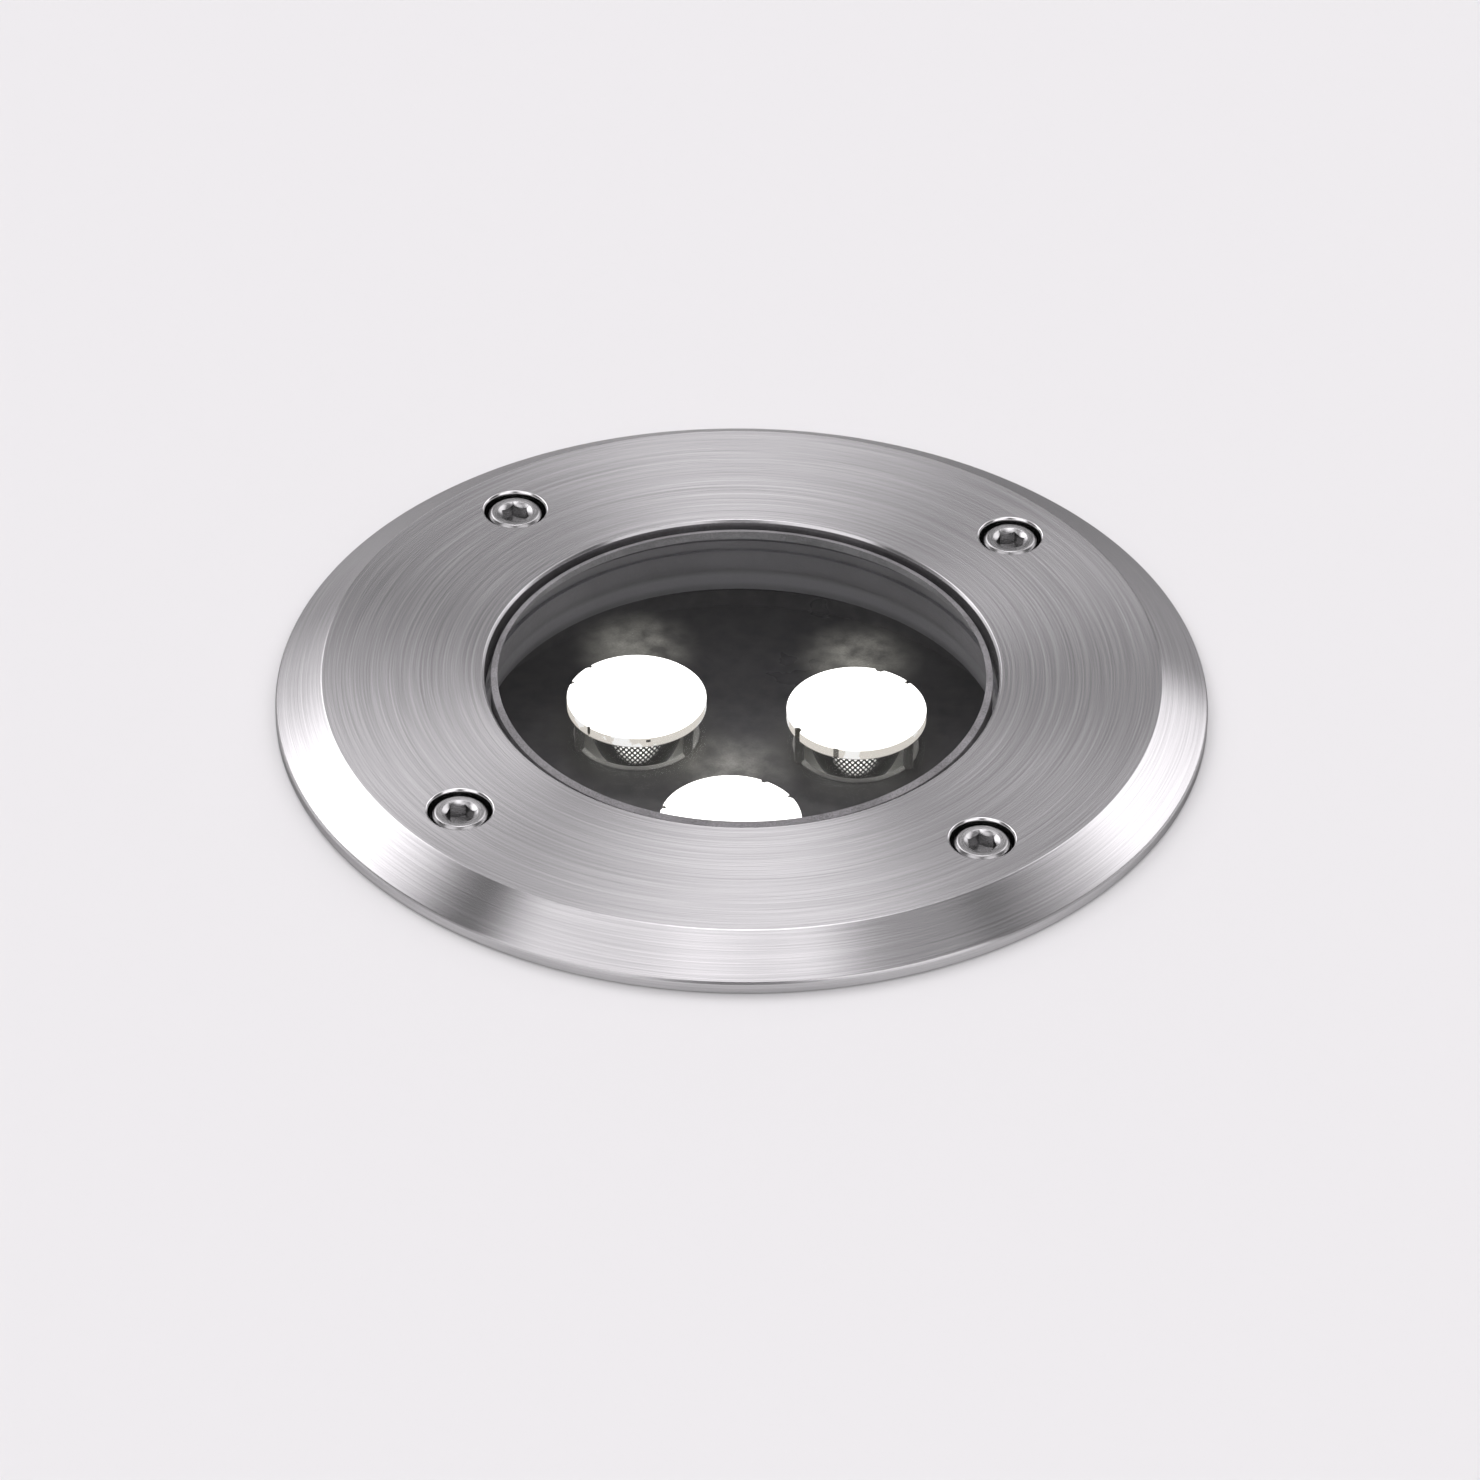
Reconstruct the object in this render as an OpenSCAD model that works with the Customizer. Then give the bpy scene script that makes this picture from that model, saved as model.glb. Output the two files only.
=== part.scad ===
// Recessed underwater light. A turned steel bezel with four cap screws clamps a stepped
// glass onto a ribbed body. Three lensed emitters stand on a round board under a black
// plate, a driver hangs under the heat spreader, and a cable gland closes the rear cover.
// The origin is on the axis, at the level of the floor that the bezel's rim rests on,
// with +Z up towards the person who looks at the light. The back of the light hangs below.

/* [Bezel] */
// Diameter of the opening over the glass
opening_d = 80; // [70:1:90]
// Width of the flat face outside the screws' counterbores
face_land = 4.35; // [3:0.05:6]
// Width of the bevel
bevel_w = 7.25; // [5:0.25:10]
// Height of the upright rim under the bevel
rim_h = 2; // [1.4:0.1:3]
// Height of the bevel above the upright rim
bevel_h = 4.5; // [3.8:0.1:6]
// Width of the seat on the floor, between the rim and the register
seat_w = 8.5; // [6:0.5:10]
// Width of the broken edge all round the bezel
edge_w = 0.25; // [0.1:0.05:0.4]
// Width of the chamfer round the opening
mouth_chamfer = 0.35; // [0.2:0.05:0.6]

/* [Bezel screws] */
// Width of metal between the glass's recess and a counterbore
screw_land = 3.5; // [2:0.1:5]
// Thread diameter of the screws
screw_d = 5; // [4:0.1:6]
// Diameter of the cylindrical head
screw_head_d = 8.5; // [7.5:0.1:10]
// Height of the head
screw_head_h = 5; // [4:0.1:5.5]
// Depth of the head's top below the bezel's face
screw_head_drop = 0.4; // [0.1:0.1:1]
// Width across flats of the socket
screw_key = 4; // [3:0.5:5]
// Depth of the socket
screw_key_depth = 2.6; // [1.5:0.1:3]
// Length of the screw under its head
screw_l = 12; // [10:0.5:14]
// Width of the chamfer on the head and on the tip
screw_chamfer = 0.45; // [0.2:0.05:0.7]
// Gap between the head and the wall of its counterbore
head_gap = 0.65; // [0.4:0.05:1.2]
// Width of the chamfer round the counterbore
counterbore_chamfer = 0.25; // [0.15:0.05:0.5]
// Thickness of the sealing washer under the head
washer_t = 0.8; // [0.5:0.1:1]
// Width of the washer outside the head
washer_proud = 0.25; // [0.1:0.05:0.4]
// Wall of the threaded insert
insert_wall = 1.3; // [1:0.1:1.8]
// Length of the threaded insert
insert_l = 10; // [8:0.5:12]

/* [Glass] */
// Full thickness of the stepped glass
glass_t = 8; // [7:0.1:9.5]
// Width of the glass's lower flange, outside its upper part
glass_lip = 8; // [6:0.5:10]
// Thickness of the glass's lower flange
glass_flange_t = 3.2; // [2.8:0.1:3.8]
// Depth of the glass's top below the bezel's face
glass_drop = 0.7; // [0.4:0.1:1.2]
// Width of the ground edge round the top of the glass
ground_w = 1; // [0.5:0.1:1.4]
// Fall of the ground edge
ground_h = 0.35; // [0.2:0.05:0.8]
// Thickness of the gasket above the glass's flange
upper_gasket_t = 1; // [0.8:0.1:1.3]
// Thickness of the gasket below the glass's flange
lower_gasket_t = 1.6; // [1.2:0.1:2]

/* [Housing] */
// Thickness of the flange under the bezel
flange_t = 5.5; // [4.5:0.5:7]
// Depth of the pocket for the gasket under the glass
pocket_h = 0.8; // [0.4:0.1:1.2]
// Width of the ledge under the glass
ledge_w = 7.5; // [6:0.5:9]
// Thickness of the ledge under the glass
ledge_t = 7.8; // [6.5:0.1:9.4]
// Depth of the step turned in the ledge's opening
ledge_step = 0.6; // [0.3:0.1:1]
// Depth of that step below the ledge's top
ledge_step_drop = 3.4; // [2:0.1:5]
// Width of the shoulder that the heat spreader bears on
shoulder_w = 2.5; // [2:0.5:4]
// Thickness of the housing's wall
wall_t = 3.5; // [3:0.5:5]
// Thickness of the wall of a screw boss round its insert
boss_wall = 3.2; // [2:0.1:4]
// Height of a screw boss below its insert
boss_floor = 6; // [4:0.5:10]
// Number of cooling ribs
rib_count = 24; // [12:6:36]
// Thickness of a cooling rib
rib_t = 2; // [1.4:0.1:2.6]
// Height of a cooling rib outside the wall
rib_proud = 5.5; // [4:0.5:7]
// Thickness of the foot that carries the rear cover
foot_t = 6; // [5:0.5:8]
// Width of the foot outside the cover screws' heads
foot_land = 1; // [0.5:0.5:3]

/* [Optics] */
// Diameter of a lens over its rim
lens_d = 22; // [19:0.5:25]
// Thickness of the lens's rim
lens_rim_t = 2; // [1.4:0.1:2.6]
// Width of the lens's rim outside its body
lens_rim_w = 2.5; // [2:0.1:3]
// Wall round the pocket for the emitter at the lens's foot
lens_foot_wall = 1.6; // [1:0.1:2.2]
// Depth of the pocket for the emitter
lens_pocket_h = 4.5; // [3:0.1:6]
// Gap between the pocket and the emitter's corners
lens_pocket_gap = 0.26; // [0.2:0.02:0.4]
// Gap between the lens's foot and the board
lens_lift = 0.4; // [0.2:0.1:0.8]
// Diameter of a leg under the lens's rim
lens_leg_d = 1.6; // [1:0.1:1.8]
// Radius of a notch in the lens's rim
lens_notch_r = 0.6; // [0.2:0.05:0.7]
// Distance of the lenses from the middle of the light
lens_ring_r = 20.05; // [17:0.05:24]
// Depth of the lens's top below the glass's underside
lens_drop = 9.2; // [8:0.1:12]
// Height of the lens's top above the black plate
lens_stand = 7.3; // [6.5:0.1:8.5]
// Thickness of the black plate
plate_t = 1.5; // [1:0.1:2]
// Height of the black plate's turned-up rim
plate_rim_h = 3; // [2:0.1:4]
// Thickness of the black plate's turned-up rim
plate_rim_t = 1.2; // [0.8:0.1:1.6]
// Gap between a lens's body and its hole in the plate
plate_hole_gap = 0.5; // [0.3:0.1:0.8]
// Height of the pillars between plate and board
pillar_h = 3.2; // [3:0.1:5]
// Diameter of a pillar
pillar_d = 6; // [5:0.1:7]
// Distance of a pillar's outside from the board's edge
pillar_inset = 0.3; // [0:0.1:2]
// Thread diameter of the small screws
small_screw_d = 3; // [2.5:0.1:3.5]
// Diameter of the small screws' heads
small_head_d = 5.5; // [5:0.1:6]
// Height of the small screws' heads
small_head_h = 1.8; // [1.4:0.1:2.4]
// Length of the plate's screws in their pillars
plate_screw_bite = 2.9; // [2:0.1:3]

/* [Emitter board and heat spreader] */
// Thickness of the emitter board and of the driver board
board_t = 1.6; // [1:0.1:2]
// Thickness of the pad that carries heat to the spreader
pad_t = 0.5; // [0.3:0.1:1]
// Thickness of the heat spreader
spreader_t = 5; // [4:0.5:7]
// Width of the emitter's square base
emitter_w = 3.45; // [3:0.05:4]
// Height of the emitter's base
emitter_base_h = 0.7; // [0.5:0.1:0.9]
// Radius of the emitter's dome
emitter_dome_r = 1.35; // [1:0.05:1.5]
// Outside diameter of a lead
lead_d = 1.4; // [1:0.1:1.6]
// Gap between the two leads
lead_gap = 1.8; // [1:0.1:2]
// Gap between a lead and the grommet
lead_play = 1.1; // [0.5:0.1:1.6]
// Wall of the leads' grommet
grommet_wall = 1; // [0.8:0.1:1.2]
// Distance of the leads from the driver board's edge
lead_inset = 4; // [3:0.5:6]
// Thickness of the ring that holds the heat spreader up
keeper_t = 1.8; // [1.2:0.1:2.4]
// Width of the ring that holds the heat spreader up
keeper_w = 3; // [2.6:0.1:4]
// Depth of that ring's groove in the housing
keeper_groove = 1.2; // [0.8:0.1:1.5]

/* [Driver] */
// Gap between the driver board's edge and the housing
driver_gap = 10; // [6:0.5:14]
// Height of the posts between heat spreader and driver board
post_h = 18; // [14:0.5:22]
// Width across flats of a post
post_w = 5.5; // [5:0.1:6.6]
// Distance of the posts from the driver board's edge
post_inset = 9; // [7:0.5:11]
// Diameter of a capacitor
capacitor_d = 10; // [8:0.5:12]
// Height of a capacitor
capacitor_h = 14; // [11:0.5:18]
// Outside diameter of the choke
choke_d = 20; // [16:0.5:23]
// Thickness of the choke's winding
choke_t = 6; // [5:0.5:7]
// Length of the terminal block
terminal_l = 15; // [12:0.5:18]
// Depth of the terminal block
terminal_w = 9; // [8:0.5:10]
// Height of the terminal block
terminal_h = 11; // [9:0.5:13]
// Room for wires between the capacitors and the rear cover
wire_room = 12; // [10:0.5:20]

/* [Rear cover] */
// Thickness of the rear cover
cover_t = 5; // [4:0.5:6]
// Height of the cover's spigot inside the housing
spigot_h = 7; // [6:0.5:8]
// Wall of the cover's spigot
spigot_wall = 4; // [3.5:0.1:5]
// Cord diameter of the cover's sealing ring
oring_d = 2.4; // [2:0.1:2.8]
// Distance of the cover screws outside the housing's wall
cover_screw_out = 3; // [2.6:0.1:5]
// Number of cover screws
cover_screw_count = 6; // [4:1:8]
// Thread diameter of the cover screws
cover_screw_d = 4; // [3:0.1:4.5]
// Head diameter of the cover screws
cover_head_d = 7; // [6:0.1:8]
// Head height of the cover screws
cover_head_h = 4; // [3:0.1:4.6]
// Width across flats of the cover screws' sockets
cover_key = 3; // [2.5:0.5:3.5]
// Length of the cover screws in the housing's foot
cover_screw_bite = 5; // [4:0.5:6]

/* [Cable gland] */
// Diameter of the cable that the gland is made for
cable_d = 8; // [6:0.1:10]
// Wall of the rubber insert round the cable
gland_rubber = 2.2; // [1.8:0.1:2.8]
// Wall of the gland's lower end round the rubber insert
gland_end_wall = 1.3; // [1:0.1:1.8]
// Wall of the gland's threaded shank
gland_shank_wall = 3.4; // [2.5:0.1:4]
// Wall of the nut round the gland's lower end, on its flats
nut_wall = 3.2; // [2.5:0.1:4]
// Height of the gland's collar
collar_h = 6; // [5:0.5:8]
// Thickness of the seal under the gland's collar
gland_seal_t = 1.5; // [1:0.1:2]
// Height of the locknut inside the cover
locknut_h = 4.5; // [4:0.5:5.5]
// Length of thread that stands past the locknut
gland_past = 1; // [0.5:0.5:2]
// Length of the rubber insert
gland_insert_l = 7.5; // [6:0.5:9]
// Length of the gland's lower end above the rubber insert
gland_end_past = 2.5; // [1:0.5:4]
// Height of the clamping claw
claw_h = 4.2; // [3:0.1:5]
// Thickness of the nut's end wall
nut_end_t = 2.8; // [2:0.1:4]
// Rounding of the nut's end
nut_round = 4; // [2:0.5:5]

/* [Clearances] */
// Gap between the glass and the bezel's opening
glass_gap = 1; // [0.6:0.1:1.4]
// Gap round the glass's flange
flange_gap = 0.6; // [0.4:0.1:0.9]
// Step from the bezel's register in to the housing's flange
register_step = 0.7; // [0.6:0.1:0.9]
// Gap between a screw's shank and the hole that it passes through
hole_gap = 0.25; // [0.15:0.05:0.35]
// Running gap between a thread and its tapped hole
thread_gap = 0.05; // [0.03:0.01:0.08]
// Gap round a piece pressed or slid into place
seat_gap = 0.05; // [0.02:0.01:0.1]
// Gap round a disc inside the housing
disc_gap = 0.5; // [0.4:0.1:0.7]
// Gap inside the cable gland
gland_gap = 0.2; // [0.15:0.05:0.3]

/* [Hidden] */
$fn = 96;
// Overrun of every cut
cut = 1;
screw_count = 4;
screw_start = 45;
lens_count = 3;
lens_start = 30;
post_start = lens_start * 2;
leg_start = lens_start * 3;
// Angles of the small notches in each lens's rim
NOTCH_ANGLES = [[45, 74, 216, 257], [139, 166, 232, 285], [36, 66, 170]];
hex = 6;
hex_corner = 1 / cos(180 / hex);
SCREWS = [for (i = [1 : screw_count]) str("screw_", i)];
WASHERS = [for (i = [1 : screw_count]) str("washer_", i)];
LENSES = [for (i = [1 : lens_count]) str("lens_", i)];
EMITTERS = [for (i = [1 : lens_count]) str("emitter_", i)];

// Radii, from the opening outwards
opening_r = opening_d / 2;
glass_r = opening_r - glass_gap;
glass_flange_r = glass_r + glass_lip;
recess_r = glass_flange_r + flange_gap;
head_r = screw_head_d / 2;
screw_r = screw_d / 2;
washer_r = head_r + washer_proud;
counterbore_r = head_r + head_gap;
insert_r = screw_r + insert_wall;
screw_ring_r = recess_r + screw_land + counterbore_r;
face_r = screw_ring_r + counterbore_r + face_land;
bezel_r = face_r + bevel_w;
register_r = bezel_r - seat_w;
flange_r = register_r - register_step;

// Radii of the housing and the rear cover
ledge_r = opening_r;
upper_r = ledge_r + ledge_w;
lower_r = upper_r + shoulder_w;
wall_r = lower_r + wall_t;
rib_r = wall_r + rib_proud;
boss_r = insert_r + boss_wall;
cover_ring_r = wall_r + cover_screw_out;
cover_head_r = cover_head_d / 2;
cover_screw_r = cover_screw_d / 2;
foot_r = cover_ring_r + cover_head_r + foot_land;
spigot_r = lower_r - seat_gap * 2;
oring_mid_r = lower_r - seat_gap - oring_d / 2;

// Radii of the optics and the driver
plate_r = upper_r - disc_gap;
board_r = plate_r - plate_rim_t;
pillar_r = pillar_d / 2;
pillar_ring_r = board_r - pillar_r - pillar_inset;
spreader_r = lower_r - disc_gap / 2;
lens_r = lens_d / 2;
lens_neck_r = lens_r - lens_rim_w;
lens_pocket_r = emitter_w / sqrt(2) + lens_pocket_gap;
lens_foot_r = lens_pocket_r + lens_foot_wall;
leg_ring_r = lens_r - lens_leg_d / 2 - lens_notch_r / 2;
plate_hole_r = lens_neck_r + plate_hole_gap;
small_r = small_screw_d / 2;
small_head_r = small_head_d / 2;
driver_r = lower_r - driver_gap;
post_ring_r = driver_r - post_inset;
lead_ring_r = driver_r - lead_inset;
lead_side = (lead_gap + lead_d) / 2;
lead_hole_r = lead_side + lead_d / 2 + lead_play + grommet_wall + seat_gap;

// Radii of the cable gland
cable_r = cable_d / 2 + gland_gap / 2;
gland_bore_r = cable_d / 2 + gland_gap * 3;
gland_insert_r = cable_r + gland_rubber;
gland_end_r = gland_insert_r + gland_gap + gland_end_wall;
gland_r = gland_bore_r + gland_shank_wall;
gland_w = (gland_end_r + nut_wall) * 2;

// Heights of the bezel, its screws and the glass
face_z = rim_h + bevel_h;
bevel_angle = atan(bevel_h / bevel_w);
head_top_z = face_z - screw_head_drop;
head_seat_z = head_top_z - screw_head_h;
washer_z = head_seat_z - washer_t;
glass_top_z = face_z - glass_drop;
glass_z = glass_top_z - glass_t;
glass_step_z = glass_z + glass_flange_t;
lip_z = glass_step_z + upper_gasket_t;

// Heights of the optics, from the top down
lens_z = glass_z - lens_drop;
plate_z = lens_z - lens_stand;
plate_low_z = plate_z - plate_t;
board_z = plate_low_z - pillar_h;
lens_low_z = board_z + lens_lift;
board_low_z = board_z - board_t;
spreader_z = board_low_z - pad_t;
spreader_low_z = spreader_z - spreader_t;
keeper_low_z = spreader_low_z - keeper_t;

// Heights of the housing and the driver
ledge_z = glass_z - lower_gasket_t;
flange_z = ledge_z + pocket_h;
ledge_low_z = ledge_z - ledge_t;
insert_low_z = flange_z - insert_l;
driver_z = spreader_low_z - post_h;
driver_low_z = driver_z - board_t;
housing_z = driver_low_z - capacitor_h - wire_room;

// Heights of the rear cover and the gland
cover_low_z = housing_z - cover_t;
spigot_z = housing_z + spigot_h;
oring_z = housing_z + spigot_h / 2;
gland_top_z = housing_z + locknut_h + gland_past;
collar_z = cover_low_z - gland_seal_t;
collar_low_z = collar_z - collar_h;
gland_end_z = collar_low_z - gland_end_past - gland_insert_l;
gland_insert_z = gland_end_z + gland_insert_l;
claw_z = gland_end_z - seat_gap;
claw_low_z = claw_z - claw_h;
nut_z = collar_low_z - gland_gap * 2;
nut_low_z = claw_low_z - nut_end_t;

// Places of the pieces on the driver board, as shares of its radius
capacitor_shares = [[0.42, 0.30], [0.42, -0.02]];
choke_shares = [-0.36, 0.24];
terminal_shares = [0, -0.55];
chip_shares = [[-0.05, 0.62], [-0.42, -0.30], [0.10, -0.10]];
chip_size_shares = [[0.24, 0.16, 0.05], [0.16, 0.16, 0.06], [0.12, 0.10, 0.04]];

// A solid disc between two heights
module disc(r, low, high) {
    translate([0, 0, low]) cylinder(r = r, h = high - low);
}

// A flat ring between two heights
module ring(outer, inner, low, high) {
    difference() {
        disc(outer, low, high);
        disc(inner, low - cut, high + cut);
    }
}

// A six-sided bar between two heights, from its width across flats
module hex_bar(width, low, high) {
    translate([0, 0, low]) cylinder(r = width / 2 * hex_corner, h = high - low, $fn = hex);
}

// Copies of a piece evenly round the axis
module around(count, radius, start) {
    for (i = [0 : count - 1])
        rotate([0, 0, start + i * 360 / count]) translate([radius, 0, 0]) children();
}

// One copy of a piece, at its place round the axis
module at_place(index, count, radius, start) {
    rotate([0, 0, start + index * 360 / count]) translate([radius, 0, 0]) children();
}

// A cylindrical cap screw, head up, with its top and its seat at the given heights
module cap_screw(head, shank, top, seat, length, key, key_depth, chamfer) {
    difference() {
        rotate_extrude() polygon([
            [0, seat - length],
            [shank - chamfer, seat - length],
            [shank, seat - length + chamfer],
            [shank, seat],
            [head, seat],
            [head, top - chamfer],
            [head - chamfer, top],
            [0, top]
        ]);
        hex_bar(key, top - key_depth, top + cut);
        translate([0, 0, top - key_depth - key / 4])
            cylinder(r1 = 0, r2 = key / 2, h = key / 4);
        translate([0, 0, top - chamfer / 2])
            cylinder(r1 = key / 2, r2 = key / 2 * hex_corner + chamfer, h = chamfer);
    }
}

// The turned ring on top, with its bevel, its opening and the counterbored screw holes
module bezel() {
    bevel_x = edge_w * cos(bevel_angle);
    bevel_z = edge_w * sin(bevel_angle);
    color([0.66, 0.65, 0.66]) difference() {
        rotate_extrude() polygon([
            [opening_r, lip_z],
            [recess_r, lip_z],
            [recess_r, flange_z],
            [register_r - edge_w, flange_z],
            [register_r, flange_z + edge_w],
            [register_r, 0],
            [bezel_r - edge_w, 0],
            [bezel_r, edge_w],
            [bezel_r, rim_h - edge_w],
            [bezel_r - bevel_x, rim_h + bevel_z],
            [face_r + bevel_x, face_z - bevel_z],
            [face_r - edge_w, face_z],
            [opening_r + mouth_chamfer, face_z],
            [opening_r, face_z - mouth_chamfer]
        ]);
        around(screw_count, screw_ring_r, screw_start) {
            disc(screw_r + hole_gap, flange_z - cut, face_z);
            disc(counterbore_r, washer_z, face_z + cut);
            translate([0, 0, face_z - counterbore_chamfer])
                cylinder(
                    r1 = counterbore_r,
                    r2 = counterbore_r + counterbore_chamfer * 2,
                    h = counterbore_chamfer * 2
                );
        }
    }
}

// One of the four cap screws that clamp the bezel
module screw(index) {
    color([0.72, 0.71, 0.71]) at_place(index, screw_count, screw_ring_r, screw_start)
        cap_screw(
            head_r, screw_r, head_top_z, head_seat_z, screw_l,
            screw_key, screw_key_depth, screw_chamfer
        );
}

// The sealing washer under one screw head
module washer(index) {
    color([0.16, 0.16, 0.17]) at_place(index, screw_count, screw_ring_r, screw_start)
        ring(washer_r, screw_r + hole_gap, washer_z, head_seat_z);
}

// The stepped glass, flush in the opening and wider below it
module glass() {
    color([0.80, 0.88, 0.90, 0.35]) rotate_extrude() polygon([
        [0, glass_z],
        [glass_flange_r - edge_w, glass_z],
        [glass_flange_r, glass_z + edge_w],
        [glass_flange_r, glass_step_z - edge_w],
        [glass_flange_r - edge_w, glass_step_z],
        [glass_r, glass_step_z],
        [glass_r, glass_top_z - ground_h],
        [glass_r - ground_w, glass_top_z],
        [0, glass_top_z]
    ]);
}

// The flat gasket between the bezel's lip and the glass's flange
module upper_gasket() {
    color([0.10, 0.10, 0.11]) ring(glass_flange_r, opening_r, glass_step_z, lip_z);
}

// The flat gasket between the glass and the ledge in the housing
module lower_gasket() {
    color([0.10, 0.10, 0.11])
        ring(glass_flange_r, ledge_r + ledge_step, ledge_z, glass_z);
}

// The ribbed body: flange, ledge for the glass, two cavities and a foot for the cover
module housing() {
    rib_low_z = housing_z + foot_t / 2;
    rib_high_z = flange_z - flange_t / 2;
    step_z = ledge_z - ledge_step_drop;
    color([0.34, 0.34, 0.36]) difference() {
        union() {
            disc(flange_r, flange_z - flange_t, flange_z);
            disc(wall_r, housing_z, flange_z);
            disc(foot_r, housing_z, housing_z + foot_t);
            around(screw_count, screw_ring_r, screw_start)
                disc(boss_r, insert_low_z - boss_floor, flange_z - flange_t / 2);
            around(rib_count, 0, 180 / rib_count)
                translate([wall_r - rib_t, -rib_t / 2, rib_low_z])
                    cube([rib_r - wall_r + rib_t, rib_t, rib_high_z - rib_low_z]);
        }
        disc(recess_r, ledge_z, flange_z + cut);
        disc(ledge_r, step_z, ledge_z + cut);
        disc(ledge_r + ledge_step, ledge_low_z - cut, step_z);
        disc(upper_r, spreader_z - cut, ledge_low_z);
        disc(lower_r, housing_z - cut, spreader_z);
        disc(lower_r + keeper_groove, keeper_low_z - seat_gap * 2, spreader_low_z);
        around(screw_count, screw_ring_r, screw_start) {
            disc(insert_r + seat_gap, insert_low_z, flange_z + cut);
            disc(screw_r + hole_gap, insert_low_z - screw_r, insert_low_z + cut);
        }
        around(cover_screw_count, cover_ring_r, 0)
            disc(cover_screw_r + thread_gap, housing_z - cut, housing_z + foot_t + cut);
    }
}

// The four threaded inserts in the housing's bosses
module thread_inserts() {
    color([0.70, 0.62, 0.40]) around(screw_count, screw_ring_r, screw_start)
        ring(insert_r, screw_r + thread_gap, insert_low_z, flange_z);
}

// The black dished plate that hides the board, with a hole round each lens and pillars below
module optics_plate() {
    color([0.12, 0.12, 0.13]) difference() {
        union() {
            disc(plate_r, plate_low_z, plate_z + plate_rim_h);
            around(lens_count, pillar_ring_r, lens_start)
                disc(pillar_r, board_z, plate_z);
        }
        disc(plate_r - plate_rim_t, plate_z, plate_z + plate_rim_h + cut);
        around(lens_count, lens_ring_r, lens_start)
            disc(plate_hole_r, plate_low_z - cut, plate_z + cut);
        around(lens_count, pillar_ring_r, lens_start)
            disc(small_r + thread_gap, board_z - cut, plate_low_z);
    }
}

// A collimating lens: a flat rim over a curved body, with a pocket for the emitter
module lens(index) {
    steps = 8;
    neck_z = lens_z - lens_rim_t;
    body_h = neck_z - lens_low_z;
    color([0.93, 0.92, 0.88]) at_place(index, lens_count, lens_ring_r, lens_start)
        rotate([0, 0, -lens_start - index * 360 / lens_count])
            difference() {
                union() {
                    rotate_extrude() polygon(concat(
                        [[0, lens_low_z]],
                        [for (i = [0 : steps])
                            [lens_foot_r + (lens_neck_r - lens_foot_r) * sqrt(i / steps),
                                lens_low_z + body_h * i / steps]],
                        [[lens_r, neck_z], [lens_r, lens_z - edge_w]],
                        [[lens_r - edge_w, lens_z], [0, lens_z]]
                    ));
                    around(lens_count, leg_ring_r, leg_start)
                        disc(lens_leg_d / 2, plate_z, neck_z + lens_rim_t / 2);
                }
                disc(lens_pocket_r, lens_low_z - cut, lens_low_z + lens_pocket_h);
                for (a = NOTCH_ANGLES[index])
                    rotate([0, 0, a]) translate([lens_r, 0, 0])
                        disc(lens_notch_r, neck_z - cut, lens_z + cut);
            }
}

// A light emitter: a square base with a clear dome
module emitter(index) {
    color([0.95, 0.86, 0.35]) at_place(index, lens_count, lens_ring_r, lens_start) {
        translate([-emitter_w / 2, -emitter_w / 2, board_z])
            cube([emitter_w, emitter_w, emitter_base_h]);
        intersection() {
            translate([0, 0, board_z + emitter_base_h]) sphere(r = emitter_dome_r);
            disc(emitter_dome_r * 2, board_z + emitter_base_h / 2, lens_z);
        }
    }
}

// The screws that pull the plate, the board and the pad down to the heat spreader, heads down
module plate_screws() {
    length = board_z + plate_screw_bite - spreader_low_z;
    color([0.70, 0.70, 0.72]) around(lens_count, pillar_ring_r, lens_start)
        translate([0, 0, spreader_low_z]) rotate([180, 0, 0])
            cap_screw(
                small_head_r, small_r, small_head_h, 0, length,
                small_screw_d * 2 / 3, small_head_h / 2, edge_w
            );
}

// Where the leads go down through board, pad and spreader
module at_leads() {
    translate([0, lead_ring_r, 0]) children();
}

// The round board that carries the emitters, with a solder lug for each lead
module emitter_board() {
    lug = lead_d * 2;
    color([0.90, 0.90, 0.88]) {
        difference() {
            disc(board_r, board_low_z, board_z);
            around(lens_count, pillar_ring_r, lens_start)
                disc(small_r + hole_gap, board_low_z - cut, board_z + cut);
            at_leads() disc(lead_hole_r, board_low_z - cut, board_z + cut);
        }
        for (side = [-1, 1])
            translate([side * lead_side - lug / 2, lead_end_y - lug, board_z - board_t / 2])
                cube([lug, lug, lead_run_z - board_z + (board_t + lead_d) / 2]);
    }
}

// The soft pad between board and spreader
module thermal_pad() {
    color([0.55, 0.65, 0.75]) difference() {
        disc(board_r, spreader_z, board_low_z);
        around(lens_count, pillar_ring_r, lens_start)
            disc(small_r + hole_gap, spreader_z - cut, board_low_z + cut);
        at_leads() disc(lead_hole_r, spreader_z - cut, board_low_z + cut);
    }
}

// The thick disc that spreads the heat into the housing's shoulder
module heat_spreader() {
    color([0.74, 0.75, 0.77]) difference() {
        disc(spreader_r, spreader_low_z, spreader_z);
        around(lens_count, pillar_ring_r, lens_start)
            disc(small_r + hole_gap, spreader_low_z - cut, spreader_z + cut);
        around(lens_count, post_ring_r, post_start)
            disc(small_r + thread_gap, spreader_low_z - cut, spreader_z + cut);
        at_leads() disc(lead_hole_r, spreader_low_z - cut, spreader_z + cut);
    }
}

// The open spring ring that sits in the housing's groove and holds the spreader up
module keeper_ring() {
    outer = lower_r + keeper_groove - seat_gap * 2;
    color([0.60, 0.60, 0.62]) difference() {
        ring(outer, outer - keeper_w, keeper_low_z, spreader_low_z);
        translate([0, -keeper_w, keeper_low_z - cut])
            cube([outer + cut, keeper_w * 2, keeper_t + cut * 2]);
    }
}

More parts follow.
